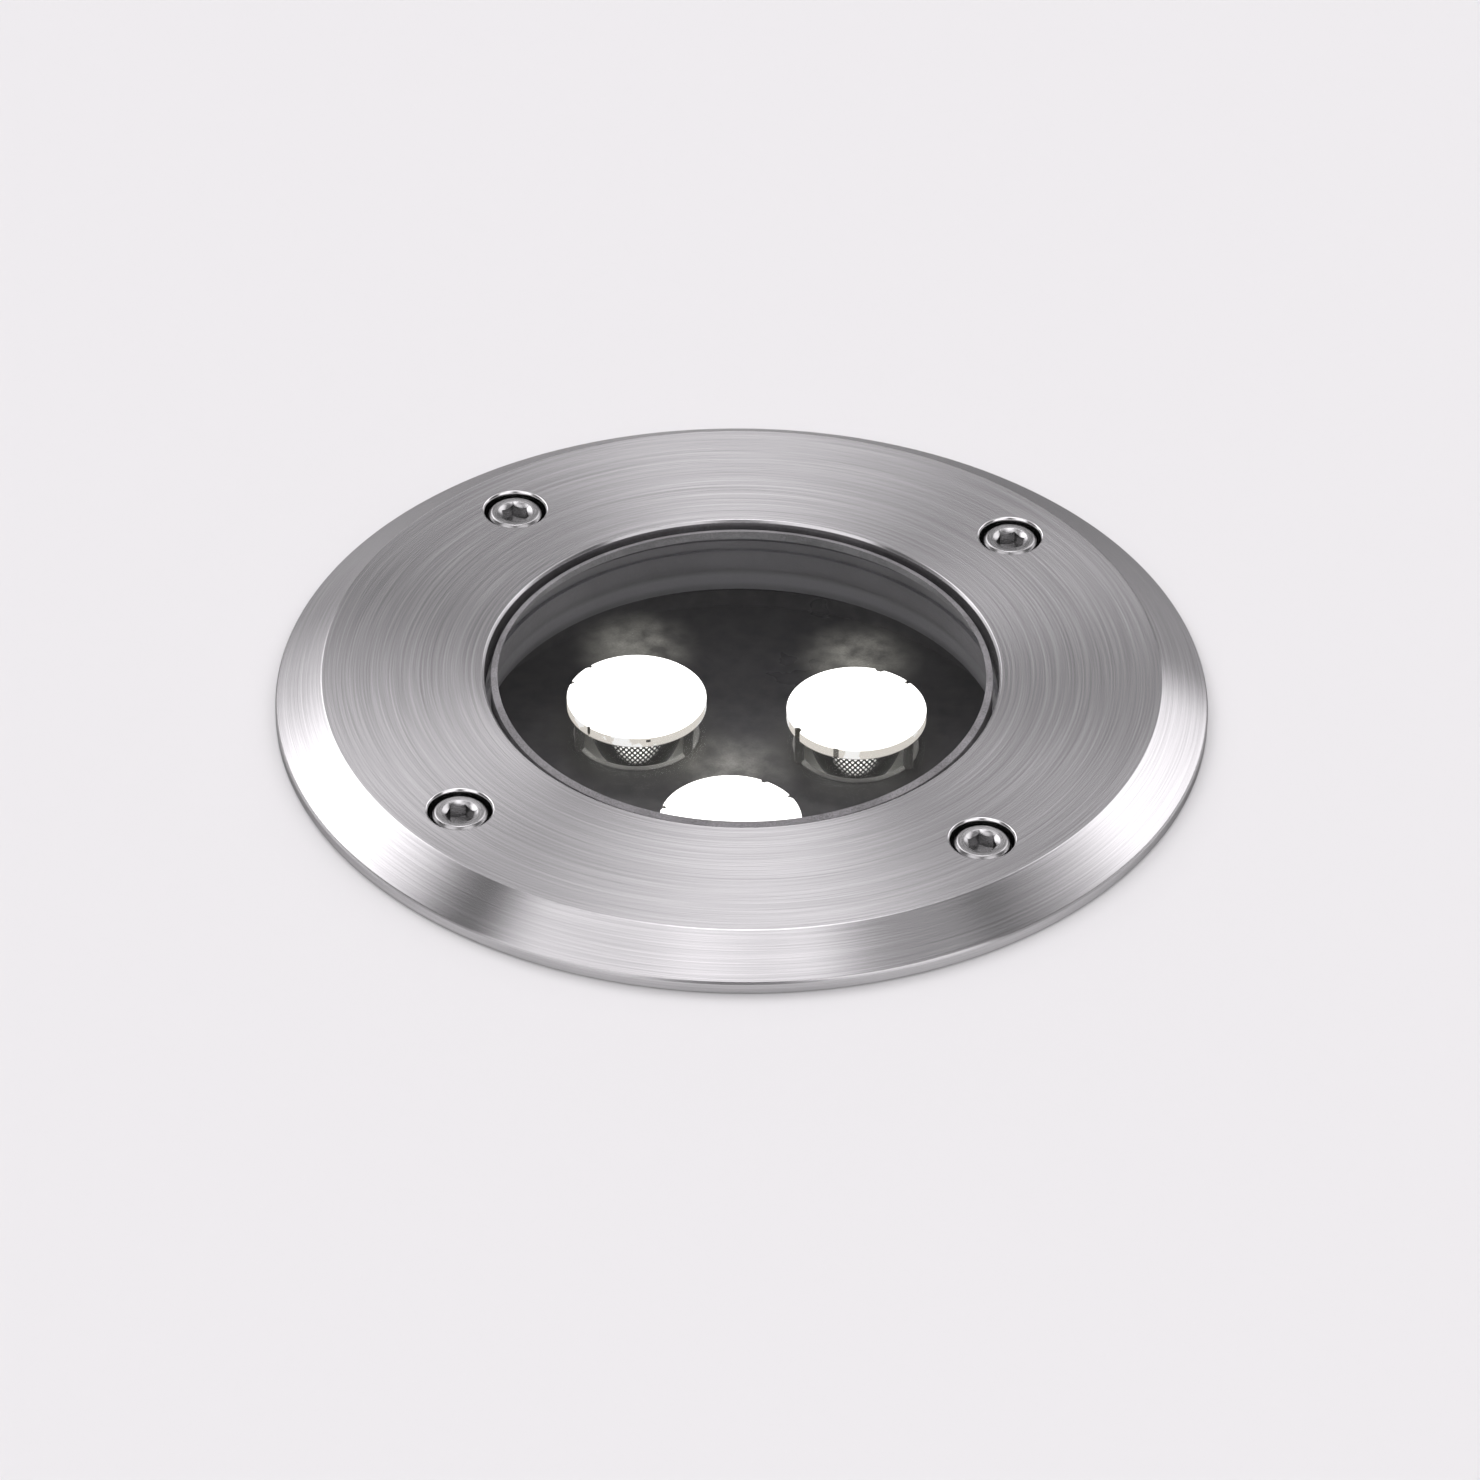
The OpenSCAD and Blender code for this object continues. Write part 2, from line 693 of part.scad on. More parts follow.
// The flanged rubber bush that lines the leads' hole in the spreader
module lead_grommet() {
    sleeve_r = lead_hole_r - seat_gap;
    color([0.12, 0.12, 0.12]) at_leads() difference() {
        union() {
            disc(sleeve_r, spreader_low_z - grommet_wall, spreader_z);
            disc(sleeve_r + grommet_wall, spreader_low_z - grommet_wall, spreader_low_z);
        }
        disc(sleeve_r - grommet_wall, spreader_low_z - cut - grommet_wall, spreader_z + cut);
    }
}

// A lead rises from the driver board, turns over the emitter board and ends at its lug
lead_bend_r = lead_d * 2;
lead_run_z = board_z + pillar_h / 2;
lead_end_y = lead_ring_r - lead_bend_r * 3;
lead_sides = 8;
lead_bend_steps = 8;
lead_rise_steps = 6;

function lead_path(x) = concat(
    [for (i = [0 : lead_rise_steps])
        [x, lead_ring_r, driver_z + (lead_run_z - lead_bend_r - driver_z) * i / lead_rise_steps]],
    [for (i = [1 : lead_bend_steps]) let (a = 90 * i / lead_bend_steps)
        [x, lead_ring_r - lead_bend_r * (1 - cos(a)), lead_run_z - lead_bend_r * (1 - sin(a))]],
    [[x, lead_end_y, lead_run_z]]
);

// The slope of the path in its upright plane, from a point to the next
function path_angle(path, i) =
    let (a = path[max(i - 1, 0)], b = path[min(i + 1, len(path) - 1)])
    atan2(b[2] - a[2], a[1] - b[1]);

// A round tube along a path that lies in an upright plane
module swept_lead(path, radius) {
    last = len(path) - 1;
    points = [for (i = [0 : last]) for (k = [0 : lead_sides - 1])
        let (t = path_angle(path, i), a = 360 * k / lead_sides)
        path[i] + radius * [cos(a), sin(a) * sin(t), sin(a) * cos(t)]];
    sides = [for (i = [0 : last - 1]) for (k = [0 : lead_sides - 1])
        let (n = (k + 1) % lead_sides, p = i * lead_sides, q = p + lead_sides)
        each [[p + k, q + k, q + n], [p + k, q + n, p + n]]];
    start = [for (k = [1 : lead_sides - 2]) [0, k, k + 1]];
    top = last * lead_sides;
    end = [for (k = [1 : lead_sides - 2]) [top, top + k + 1, top + k]];
    polyhedron(points = points, faces = concat(sides, start, end));
}

module lead_red() {
    color([0.75, 0.12, 0.10]) swept_lead(lead_path(-lead_side), lead_d / 2);
}

module lead_black() {
    color([0.08, 0.08, 0.08]) swept_lead(lead_path(lead_side), lead_d / 2);
}

// The driver's round circuit board
module driver_board() {
    color([0.10, 0.36, 0.20]) difference() {
        disc(driver_r, driver_low_z, driver_z);
        around(lens_count, post_ring_r, post_start)
            disc(small_r + hole_gap, driver_low_z - cut, driver_z + cut);
    }
}

// The threaded posts that hang the driver board under the heat spreader
module driver_posts() {
    stud_z = spreader_z - spreader_t / 5;
    color([0.75, 0.65, 0.35]) around(lens_count, post_ring_r, post_start) difference() {
        union() {
            hex_bar(post_w, driver_z, spreader_low_z);
            disc(small_r, spreader_low_z - cut, stud_z);
        }
        disc(small_r + thread_gap, driver_z - cut, driver_z + post_h / 2);
    }
}

// The screws that hold the driver board to its posts, heads down
module driver_screws() {
    length = board_t + post_h / 3;
    color([0.70, 0.70, 0.72]) around(lens_count, post_ring_r, post_start)
        translate([0, 0, driver_low_z]) rotate([180, 0, 0])
            cap_screw(
                small_head_r, small_r, small_head_h, 0, length,
                small_screw_d * 2 / 3, small_head_h / 2, edge_w
            );
}

// The two upright capacitors under the driver board
module capacitors() {
    color([0.20, 0.22, 0.45]) for (place = capacitor_shares)
        translate(driver_r * [place[0], place[1], 0])
            translate([0, 0, driver_low_z - capacitor_h]) rotate_extrude() polygon([
                [0, 0],
                [capacitor_d / 2 - edge_w, 0],
                [capacitor_d / 2, edge_w],
                [capacitor_d / 2, capacitor_h],
                [0, capacitor_h]
            ]);
}

// The ring-shaped choke on its round base under the driver board
module choke() {
    mid_r = (choke_d - choke_t) / 2;
    color([0.70, 0.38, 0.16])
        translate(driver_r * [choke_shares[0], choke_shares[1], 0])
            translate([0, 0, driver_low_z - choke_t]) {
                translate([0, 0, choke_t / 2]) rotate_extrude()
                    translate([mid_r, 0]) circle(r = choke_t / 2);
                disc(mid_r, choke_t / 2, choke_t);
            }
}

// The flat integrated circuits on the driver board's underside
module driver_chips() {
    color([0.10, 0.10, 0.11]) for (i = [0 : len(chip_shares) - 1]) {
        size = driver_r * chip_size_shares[i];
        translate(driver_r * [chip_shares[i][0], chip_shares[i][1], 0])
            translate([-size[0] / 2, -size[1] / 2, driver_low_z - size[2]]) cube(size);
    }
}

// Where the two clamping screws of the terminal block stand
module at_terminals() {
    translate(driver_r * [terminal_shares[0], terminal_shares[1], 0])
        for (side = [-1, 1]) translate([side * terminal_l / 4, 0, 0]) children();
}

// The two-way terminal block for the supply cable
module terminal_block() {
    low = driver_low_z - terminal_h;
    wire_r = terminal_h / 6;
    color([0.20, 0.42, 0.30]) difference() {
        translate(driver_r * [terminal_shares[0], terminal_shares[1], 0])
            translate([-terminal_l / 2, -terminal_w / 2, low])
                cube([terminal_l, terminal_w, terminal_h]);
        at_terminals() {
            disc(small_r + thread_gap, low - cut, low + terminal_h * 2 / 3);
            translate([0, 0, low + terminal_h * 2 / 3]) rotate([90, 0, 0])
                cylinder(r = wire_r, h = terminal_w / 2 + cut);
        }
    }
}

// The clamping screws of the terminal block, with a slot in each head
module terminal_screws() {
    low = driver_low_z - terminal_h;
    color([0.72, 0.72, 0.74]) at_terminals() difference() {
        disc(small_r, low + edge_w, low + terminal_h / 2);
        translate([-small_r, -edge_w, low]) cube([small_r * 2, edge_w * 2, edge_w * 4]);
    }
}

// The round cover at the back, with a sealed spigot and the gland's hole
module rear_cover() {
    groove_low_z = oring_z - oring_d / 2 - seat_gap;
    groove_high_z = oring_z + oring_d / 2 + seat_gap;
    color([0.34, 0.34, 0.36]) difference() {
        union() {
            rotate_extrude() polygon([
                [0, cover_low_z],
                [foot_r - cover_t / 4, cover_low_z],
                [foot_r, cover_low_z + cover_t / 4],
                [foot_r, housing_z],
                [0, housing_z]
            ]);
            ring(spigot_r, spigot_r - spigot_wall, housing_z - cover_t / 2, spigot_z);
        }
        ring(spigot_r + cut, oring_mid_r - oring_d / 2, groove_low_z, groove_high_z);
        disc(gland_r + seat_gap, cover_low_z - cut, housing_z + cut);
        around(cover_screw_count, cover_ring_r, 0)
            disc(cover_screw_r + hole_gap, cover_low_z - cut, housing_z + cut);
    }
}

// The sealing ring in the spigot's groove
module cover_seal() {
    color([0.08, 0.08, 0.09]) rotate_extrude()
        translate([oring_mid_r, oring_z]) circle(r = oring_d / 2 - seat_gap);
}

// The cap screws that hold the rear cover, heads down
module cover_screws() {
    color([0.72, 0.71, 0.71]) around(cover_screw_count, cover_ring_r, 0)
        translate([0, 0, cover_low_z]) rotate([180, 0, 0])
            cap_screw(
                cover_head_r, cover_screw_r, cover_head_h, 0, cover_t + cover_screw_bite,
                cover_key, cover_head_h / 2, edge_w
            );
}

// The gland's body: a threaded shank up through the cover, a collar and a lower end
module gland_body() {
    color([0.70, 0.69, 0.70]) difference() {
        union() {
            disc(gland_r, collar_z - cut, gland_top_z);
            hex_bar(gland_w, collar_low_z, collar_z);
            disc(gland_end_r, gland_end_z, collar_low_z + cut);
        }
        disc(gland_bore_r, gland_end_z - cut, gland_top_z + cut);
        disc(gland_insert_r + gland_gap, gland_end_z - cut, gland_insert_z + gland_gap);
    }
}

// The flat seal between the gland's collar and the cover
module gland_seal() {
    color([0.08, 0.08, 0.09])
        ring(gland_w / 2 - edge_w, gland_r + gland_gap, collar_z, cover_low_z);
}

// The locknut on the gland's shank inside the cover
module gland_locknut() {
    color([0.70, 0.69, 0.70]) difference() {
        hex_bar(gland_w, housing_z, housing_z + locknut_h);
        disc(gland_r + thread_gap, housing_z - cut, housing_z + locknut_h + cut);
    }
}

// The rubber insert that grips and seals the cable
module gland_insert() {
    color([0.10, 0.10, 0.11]) ring(gland_insert_r, cable_r, gland_end_z, gland_insert_z);
}

// The slotted claw that the nut closes round the cable
module gland_claw() {
    slot_w = claw_h / 4;
    slots = 6;
    color([0.86, 0.85, 0.82]) difference() {
        ring(gland_end_r - gland_gap, gland_bore_r, claw_low_z, claw_z);
        around(slots, gland_bore_r / 2, 0)
            translate([0, -slot_w / 2, claw_low_z - cut])
                cube([gland_end_r, slot_w, claw_h * 2 / 3 + cut]);
    }
}

// The domed nut that closes the gland
module gland_nut() {
    corner_r = gland_w / 2 * hex_corner;
    color([0.70, 0.69, 0.70]) difference() {
        intersection() {
            hex_bar(gland_w, nut_low_z, nut_z);
            translate([0, 0, nut_low_z]) rotate_extrude() polygon(concat(
                [[0, 0]],
                [for (a = [-90 : 15 : 0])
                    [corner_r - nut_round + nut_round * cos(a), nut_round + nut_round * sin(a)]],
                [
                    [corner_r, nut_z - nut_low_z - edge_w * 2],
                    [corner_r - edge_w * 4, nut_z - nut_low_z],
                    [0, nut_z - nut_low_z]
                ]
            ));
        }
        disc(gland_end_r + thread_gap, claw_low_z, nut_z + cut);
        disc(gland_bore_r, nut_low_z - cut, nut_z);
    }
}

bezel();
for (i = [0 : screw_count - 1]) {
    screw(i);
    washer(i);
}
glass();
upper_gasket();
lower_gasket();
housing();
thread_inserts();
optics_plate();
for (i = [0 : lens_count - 1]) {
    lens(i);
    emitter(i);
}
plate_screws();
emitter_board();
thermal_pad();
heat_spreader();
keeper_ring();
lead_grommet();
lead_red();
lead_black();
driver_board();
driver_posts();
driver_screws();
capacitors();
choke();
driver_chips();
terminal_block();
terminal_screws();
rear_cover();
cover_seal();
cover_screws();
gland_body();
gland_seal();
gland_locknut();
gland_insert();
gland_claw();
gland_nut();
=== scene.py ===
# %% [markdown]
# A recessed underwater light
#
# This light is sunk into a pool's or fountain's floor. Only its turned steel ring, its glass and
# what shows through the glass can be seen from above. The body, the driver and the cable gland
# hang below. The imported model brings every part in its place, so this file gives each one its
# finish, and makes again in finer mesh the four kinds of part that the eye rests on.

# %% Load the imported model
import math
import bmesh
import bpy
import numpy as np
from mathutils import Matrix


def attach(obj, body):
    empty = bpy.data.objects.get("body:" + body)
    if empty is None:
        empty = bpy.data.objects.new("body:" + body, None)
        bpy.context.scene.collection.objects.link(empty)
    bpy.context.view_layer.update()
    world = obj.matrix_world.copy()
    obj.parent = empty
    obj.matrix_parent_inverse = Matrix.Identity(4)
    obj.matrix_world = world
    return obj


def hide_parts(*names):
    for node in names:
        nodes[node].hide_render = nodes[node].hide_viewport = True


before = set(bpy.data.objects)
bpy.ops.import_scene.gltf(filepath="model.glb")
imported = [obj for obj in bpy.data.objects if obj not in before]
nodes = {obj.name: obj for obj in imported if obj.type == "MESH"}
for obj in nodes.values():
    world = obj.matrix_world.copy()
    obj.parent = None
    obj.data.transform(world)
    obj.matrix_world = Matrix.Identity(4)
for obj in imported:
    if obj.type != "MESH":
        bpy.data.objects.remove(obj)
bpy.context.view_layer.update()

scene = bpy.context.scene

# %% [markdown]
# Camera
#
# The photograph was taken with a long lens from 37 degrees above the floor, more than a metre
# away. The ellipses of the ring gave the angles and the distance. The whole picture is turned by
# 4.4 degrees about the light's axis, because the model's axes lie midway between its screws.

# %% Place the camera
TURN = math.radians(4.38)
DOWN = math.radians(36.87)
ROLL = math.radians(0.534)
STANDS_AT = (-0.0002, -0.9398, 0.6976)
FOCAL_MM, SENSOR_MM = 182.77, 36

looking = np.array([0, math.cos(DOWN), -math.sin(DOWN)])
upwards = np.array([0, math.sin(DOWN), math.cos(DOWN)])
sideways = np.array([1.0, 0, 0])
right = math.cos(ROLL) * sideways + math.sin(ROLL) * upwards
top = -math.sin(ROLL) * sideways + math.cos(ROLL) * upwards
turned_frame = Matrix.Rotation(TURN, 4, "Z")
pose = Matrix(np.column_stack([right, top, -looking]).tolist()).to_4x4()
pose.translation = STANDS_AT

camera = bpy.data.objects.new("camera", bpy.data.cameras.new("camera"))
camera.data.lens = FOCAL_MM
camera.data.sensor_width = SENSOR_MM
camera.matrix_world = turned_frame @ pose
scene.collection.objects.link(camera)
scene.camera = camera
print("camera at", [round(x, 3) for x in camera.matrix_world.translation])

# %% [markdown]
# Surfaces from arrays
#
# A turned part is a profile carried round an axis, and a drilled face is a grid with windows in
# it. Both are worked out as whole arrays of points, in millimetres. Each grid knows only its own
# points, and the grids of one piece are sewn together where their edges meet, so the finished
# mesh is closed. Real machined corners are never quite sharp, and their small curves catch the
# light, so every profile is eased before it is turned.

# %% Profiles and grids
ROUND = np.radians(np.arange(360))
METRES = 0.001
TRIM_SHARE, GUARD, CURVE_STEPS = 0.4, 1.12, 4
CHAMFER = 0.25
WELD, MERGE = 3e-7, 1e-6
CRISP, CRISP_COPY = math.radians(32), math.radians(28)


def eased(corners, reach):
    """A profile with rounded corners. Each inner corner becomes a curve, where the point is
    (1-t)^2 times its start plus 2t(1-t) times the corner plus t^2 times its end, for t from 0 to
    1. A curve takes at most 0.4 of the shorter side. One more point beyond each of its ends
    keeps the flat beside it flat."""
    p = np.asarray(corners, float)
    sides = np.stack([p[:-2] - p[1:-1], p[2:] - p[1:-1]])
    lengths = np.linalg.norm(sides, axis=2, keepdims=True)
    trim = np.minimum(reach, TRIM_SHARE * lengths.min(axis=0))
    near = p[1:-1] + sides / lengths * trim
    guard = p[1:-1] + sides / lengths * trim * GUARD
    t = np.linspace(0, 1, CURVE_STEPS + 1)[None, :, None]
    curve = (1 - t) ** 2 * near[0][:, None] + 2 * t * (1 - t) * p[1:-1][:, None]
    curve = curve + t ** 2 * near[1][:, None]
    rows = np.concatenate([guard[0][:, None], curve, guard[1][:, None]], axis=1)
    return np.concatenate([p[:1], rows.reshape(-1, 2), p[-1:]])


def turned(profile, angles=ROUND, centre=(0, 0)):
    """A profile of radius and height turned round an upright axis: x is the centre's plus radius
    times cosine, y is the centre's plus radius times sine, and z is the height."""
    radius, height = np.asarray(profile, float).T[:, :, None]
    x = centre[0] + radius * np.cos(angles)
    y = centre[1] + radius * np.sin(angles)
    return np.stack([x, y, height + 0 * x], axis=-1)


def around(radius, degrees):
    """The point on a circle about the upright axis."""
    a = math.radians(degrees)
    return radius * np.array([math.cos(a), math.sin(a)])


def quads(points, keep=None):
    """A grid of points as (points, faces). Each face joins a point to its neighbour, the last
    column joins the first, and keep is a mask of the faces that stay."""
    rows, columns = points.shape[:2]
    index = np.arange(rows * columns).reshape(rows, columns)
    beside = np.roll(index, -1, axis=1)
    faces = np.stack([index[:-1], beside[:-1], beside[1:], index[1:]], axis=-1)
    faces = faces.reshape(-1, 4) if keep is None else faces[keep]
    return points.reshape(-1, 3), faces


def sewn(name, grids):
    """A closed mesh from several grids. Points that meet become one, and the faces are turned
    to point outwards. Edges that bend by more than 32 degrees stay crisp."""
    starts = np.cumsum([0] + [len(points) for points, _ in grids])[:-1]
    points = np.concatenate([points for points, _ in grids]) * METRES
    faces = np.concatenate([faces + start for (_, faces), start in zip(grids, starts)])
    mesh = bpy.data.meshes.new(name)
    mesh.from_pydata(points.tolist(), [], faces.tolist())
    work = bmesh.new()
    work.from_mesh(mesh)
    bmesh.ops.remove_doubles(work, verts=work.verts, dist=WELD)
    bmesh.ops.recalc_face_normals(work, faces=work.faces)
    open_edges = sum(len(edge.link_faces) != 2 for edge in work.edges)
    work.to_mesh(mesh)
    work.free()
    mesh.shade_smooth()
    mesh.set_sharp_from_angle(angle=CRISP)
    print(name, len(mesh.polygons), "faces,", open_edges, "open edges")
    return mesh


def place(name, mesh, materials, body, node):
    """The mesh as a piece that stands for a node, rides on its body and wears these materials."""
    piece = bpy.data.objects.new(name, mesh)
    scene.collection.objects.link(piece)
    for material in materials:
        mesh.materials.append(material)
    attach(piece, body)
    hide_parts(node)


# %% [markdown]
# Wiring materials
#
# A material is a net of nodes. Small helpers keep the wiring short: they add a node and join or
# set its inputs, do sums, mix tones, and open a new group with named sockets. A group holds an
# effect that several finishes share, such as grain, and puts out only masks and values.

# %% Node helpers
def join(tree, value, socket):
    """An input joined to another node's output, or set to a plain value."""
    if isinstance(value, bpy.types.NodeSocket):
        tree.links.new(value, socket)
    else:
        socket.default_value = value


def feed(tree, node, **values):
    """A node's inputs joined or set by their names, with spaces written as underscores."""
    for label, value in values.items():
        join(tree, value, node.inputs[label.replace("_", " ")])


def add(tree, kind, inputs=None, **settings):
    """A new node of a kind, with its settings, and its inputs set to values or joined."""
    made = tree.nodes.new(kind)
    for key, value in settings.items():
        setattr(made, key, value)
    for key, value in (inputs or {}).items():
        join(tree, value, made.inputs[key])
    return made


def sums(tree, operation, *values):
    """One number worked out from others."""
    return add(tree, "ShaderNodeMath", dict(enumerate(values)), operation=operation).outputs[0]


def vectors(tree, operation, *values):
    """The outputs of one sum with vectors."""
    return add(tree, "ShaderNodeVectorMath", dict(enumerate(values)), operation=operation).outputs


def times(tree, first, second):
    """Two numbers multiplied."""
    return sums(tree, "MULTIPLY", first, second)


def weighed(tree, first, first_share, second, second_share):
    """Two values added, each times its own share."""
    return sums(tree, "ADD", times(tree, first, first_share), times(tree, second, second_share))


def position(tree):
    """Where the point lies on the piece, in metres."""
    return add(tree, "ShaderNodeTexCoord").outputs["Object"]


def split(tree, vector):
    """The x, y and z of a vector."""
    return add(tree, "ShaderNodeSeparateXYZ", {0: vector}).outputs


def from_axis(tree, x, y):
    """The distance from an upright axis: the square root of x squared plus y squared."""
    return sums(tree, "SQRT", sums(tree, "ADD", times(tree, x, x), times(tree, y, y)))


def between(tree, value, low, high, to_low=0.0, to_high=1.0, smooth=False):
    """The value mapped from one range to another, and held inside it."""
    kind = "SMOOTHSTEP" if smooth else "LINEAR"
    inputs = {0: value, 1: low, 2: high, 3: to_low, 4: to_high}
    return add(tree, "ShaderNodeMapRange", inputs, interpolation_type=kind).outputs[0]


def stretched(tree, share, low, high):
    """A share from 0 to 1 spread over a range."""
    return between(tree, share, 0, 1, low, high)


def blended(tree, share, first, second):
    """Two colours mixed by a share from 0 to 1."""
    inputs = {"Factor": share, "A": first, "B": second}
    made = tree.nodes.new("ShaderNodeMix")
    made.data_type = "RGBA"
    for socket in made.inputs:
        if socket.enabled and socket.name in inputs:
            join(tree, inputs[socket.name], socket)
    return next(socket for socket in made.outputs if socket.enabled)


def new_group(name, inputs, outputs):
    """An empty node group with named inputs (with first values) and float outputs."""
    group = bpy.data.node_groups.new(name, "ShaderNodeTree")
    for label, first in inputs.items():
        kind = "NodeSocketVector" if first is None else "NodeSocketFloat"
        socket = group.interface.new_socket(name=label, in_out="INPUT", socket_type=kind)
        if first is not None:
            socket.default_value = first
    for label in outputs:
        group.interface.new_socket(name=label, in_out="OUTPUT", socket_type="NodeSocketFloat")
    return group, group.nodes.new("NodeGroupInput").outputs, group.nodes.new("NodeGroupOutput").inputs


def use(tree, group, **inputs):
    """A shared group placed in a material, with this material's own values."""
    made = tree.nodes.new("ShaderNodeGroup")
    made.node_tree = group
    feed(tree, made, **inputs)
    return made.outputs


# %% [markdown]
# Turning marks
#
# A cutting tool or an abrasive pad leaves fine rings on a turned face. Stretched noise gives
# them: a point moves slowly through the noise along its ring and fast across it. The position
# is taken from the part's own axis, so the marks run round it, on flats, bevels and walls alike.
# The marks have three outputs: fine lines, broader bands, and a soft cloud that breaks them up.

# %% Shared group: turning marks
# Noise seldom leaves its middle range, so that range is spread out from 0 to 1
FINE_RANGE, SOFT_RANGE = (0.25, 0.75), (0.3, 0.7)
BAND_STRETCH, CLOUDS_PER_METRE = 3.5, 55.0
TURNING, given, out = new_group(
    "turning marks", {"Position": None, "Length": 0.012, "Pitch": 0.00022}, ["Lines", "Bands", "Cloud"])
axes = split(TURNING, given["Position"])
across = sums(TURNING, "SUBTRACT", from_axis(TURNING, axes[0], axes[1]), axes[2])
for label, stretch in (("Lines", 1.0), ("Bands", BAND_STRETCH)):
    along = times(TURNING, given["Length"], stretch ** 0.5)
    step = times(TURNING, given["Pitch"], stretch)
    where = add(TURNING, "ShaderNodeCombineXYZ", {
        0: sums(TURNING, "DIVIDE", axes[0], along), 1: sums(TURNING, "DIVIDE", axes[1], along),
        2: sums(TURNING, "DIVIDE", across, step)}).outputs[0]
    noise = add(TURNING, "ShaderNodeTexNoise", {"Vector": where, "Scale": 1.0, "Detail": 3.0,
                                                "Roughness": 0.6})
    TURNING.links.new(between(TURNING, noise.outputs[0], *FINE_RANGE), out[label])
cloud = add(TURNING, "ShaderNodeTexNoise", {"Vector": given["Position"], "Scale": CLOUDS_PER_METRE,
                                            "Detail": 3.0})
TURNING.links.new(between(TURNING, cloud.outputs[0], *SOFT_RANGE), out["Cloud"])
print("turning marks:", len(TURNING.nodes), "nodes")

# %% [markdown]
# Fine grain
#
# Castings, rubber, paint and moulded plastic have no direction, so plain noise at two sizes does
# for them. One size is the surface's grain, and the other, much larger, is the slow change of
# tone that handling, moulding or coating leaves.

# %% Shared group: fine grain
GRAIN, given, out = new_group("fine grain", {"Size": 0.0004, "Patch": 0.012}, ["Grain", "Patches"])
where = position(GRAIN)
for label, size, detail in (("Grain", "Size", 2.0), ("Patches", "Patch", 4.0)):
    scale = sums(GRAIN, "DIVIDE", 1.0, given[size])
    noise = add(GRAIN, "ShaderNodeTexNoise", {"Vector": where, "Scale": scale, "Detail": detail})
    GRAIN.links.new(between(GRAIN, noise.outputs[0], *SOFT_RANGE), out[label])
print("fine grain:", len(GRAIN.nodes), "nodes")


# %% A material with its shader
def begin(name, **sockets):
    """A new material with one Principled shader, whose plain sockets are set here."""
    material = bpy.data.materials.new(name)
    material.use_nodes = True
    shader = material.node_tree.nodes["Principled BSDF"]
    feed(material.node_tree, shader, **sockets)
    return material, material.node_tree, shader


def raise_bump(tree, shader, height, depth, strength):
    """Small relief: the height, from 0 to 1, stands for this depth in metres."""
    bump = add(tree, "ShaderNodeBump", {"Height": height, "Distance": depth, "Strength": strength})
    feed(tree, shader, Normal=bump.outputs[0])


# %% [markdown]
# Brushed steel
#
# The ring is turned stainless steel, finished with an abrasive pad while it spins. Light is
# spread across the rings of scratches and hardly along them, which is why the face shows broad
# soft fans and the bevel bright and dark sectors. An anisotropic shader does that, with its
# tangent running round the axis. The marks vary the tone and the roughness a little, and are a
# few thousandths of a millimetre deep.

# %% Steel finishes
EDGE_TINT = (0.25, 0.25, 0.25, 1)
LINES_SHARE, BANDS_SHARE = 0.85, 0.15
MARK_DEPTH = 0.000004
SCREW_RING = 56.0
FOLD = SCREW_RING * METRES * math.cos(math.radians(45))


def brushed(name, dark, light, roughness, anisotropic, length, pitch, fold=None):
    """Brushed steel. fold is how far four equal parts' axes stand from the middle in x and y. The
    position is folded onto one of them, so that each screw has its rings round its own axis."""
    material, tree, shader = begin(name, Metallic=1.0, Anisotropic=anisotropic, Anisotropic_Rotation=0.25,
                                   Specular_Tint=EDGE_TINT)
    shader.distribution = "GGX"
    where = position(tree)
    if fold:
        where = vectors(tree, "ABSOLUTE", where)[0]
        where = vectors(tree, "SUBTRACT", where, (fold, fold, 0))[0]
    marks = use(tree, TURNING, Position=where, Length=length, Pitch=pitch)
    mixed = weighed(tree, marks["Lines"], LINES_SHARE, marks["Bands"], BANDS_SHARE)
    tangent = add(tree, "ShaderNodeTangent", direction_type="RADIAL", axis="Z")
    feed(tree, shader, Base_Color=blended(tree, mixed, (*dark, 1), (*light, 1)),
         Roughness=stretched(tree, mixed, *roughness), Tangent=tangent.outputs[0])
    raise_bump(tree, shader, mixed, MARK_DEPTH, strength=0.5)
    return material


RING_STEEL = brushed("brushed ring steel", (0.46, 0.456, 0.461), (0.71, 0.705, 0.712), (0.22, 0.25),
                     anisotropic=0.955, length=0.03, pitch=0.0002)
SCREW_STEEL = brushed("satin screw steel", (0.36, 0.358, 0.36), (0.54, 0.538, 0.54), (0.22, 0.32),
                      anisotropic=0.0, length=0.002, pitch=0.0001, fold=FOLD)
# The counterbores are more polished, and their paler copy of the ring's steel is painted highlight that
# makes their chamfers' crescents burn white
PALER_BORE_STEEL = brushed("counterbore steel with painted highlights", (0.70, 0.698, 0.70), (0.86, 0.858, 0.86), (0.14, 0.2),
                     anisotropic=0.0, length=0.004, pitch=0.00012, fold=FOLD)

# %% [markdown]
# The ring
#
# The bezel is one turned profile: flat face, bevel, upright rim, seat, register and recess. Its
# face and its underside each have four round holes, so they can't simply be turned. They are
# polar grids with a window left open round each hole. The window is filled with lines that run
# from the hole's edge to the window's, so no hole needs a boolean and every edge stays clean.

# %% Drilled faces
SCREWS_AT = (45, 135, 225, 315)
# A window is as many rows deep as it is degrees wide. A hole has as many points as its window
HALF_WINDOW = 9
AROUND_HOLE = 8 * HALF_WINDOW
CORNER_AT = 225
FILL_SHARES = (0, 0.06, 0.25, 0.6, 1)


def hole_place(azimuth):
    """The centre of a screw hole, and the directions of the points round it. They start at
    the window's corner and run clockwise, as the window's edge does."""
    directions = azimuth + CORNER_AT - 360 / AROUND_HOLE * np.arange(AROUND_HOLE)
    return around(SCREW_RING, azimuth), np.radians(directions)


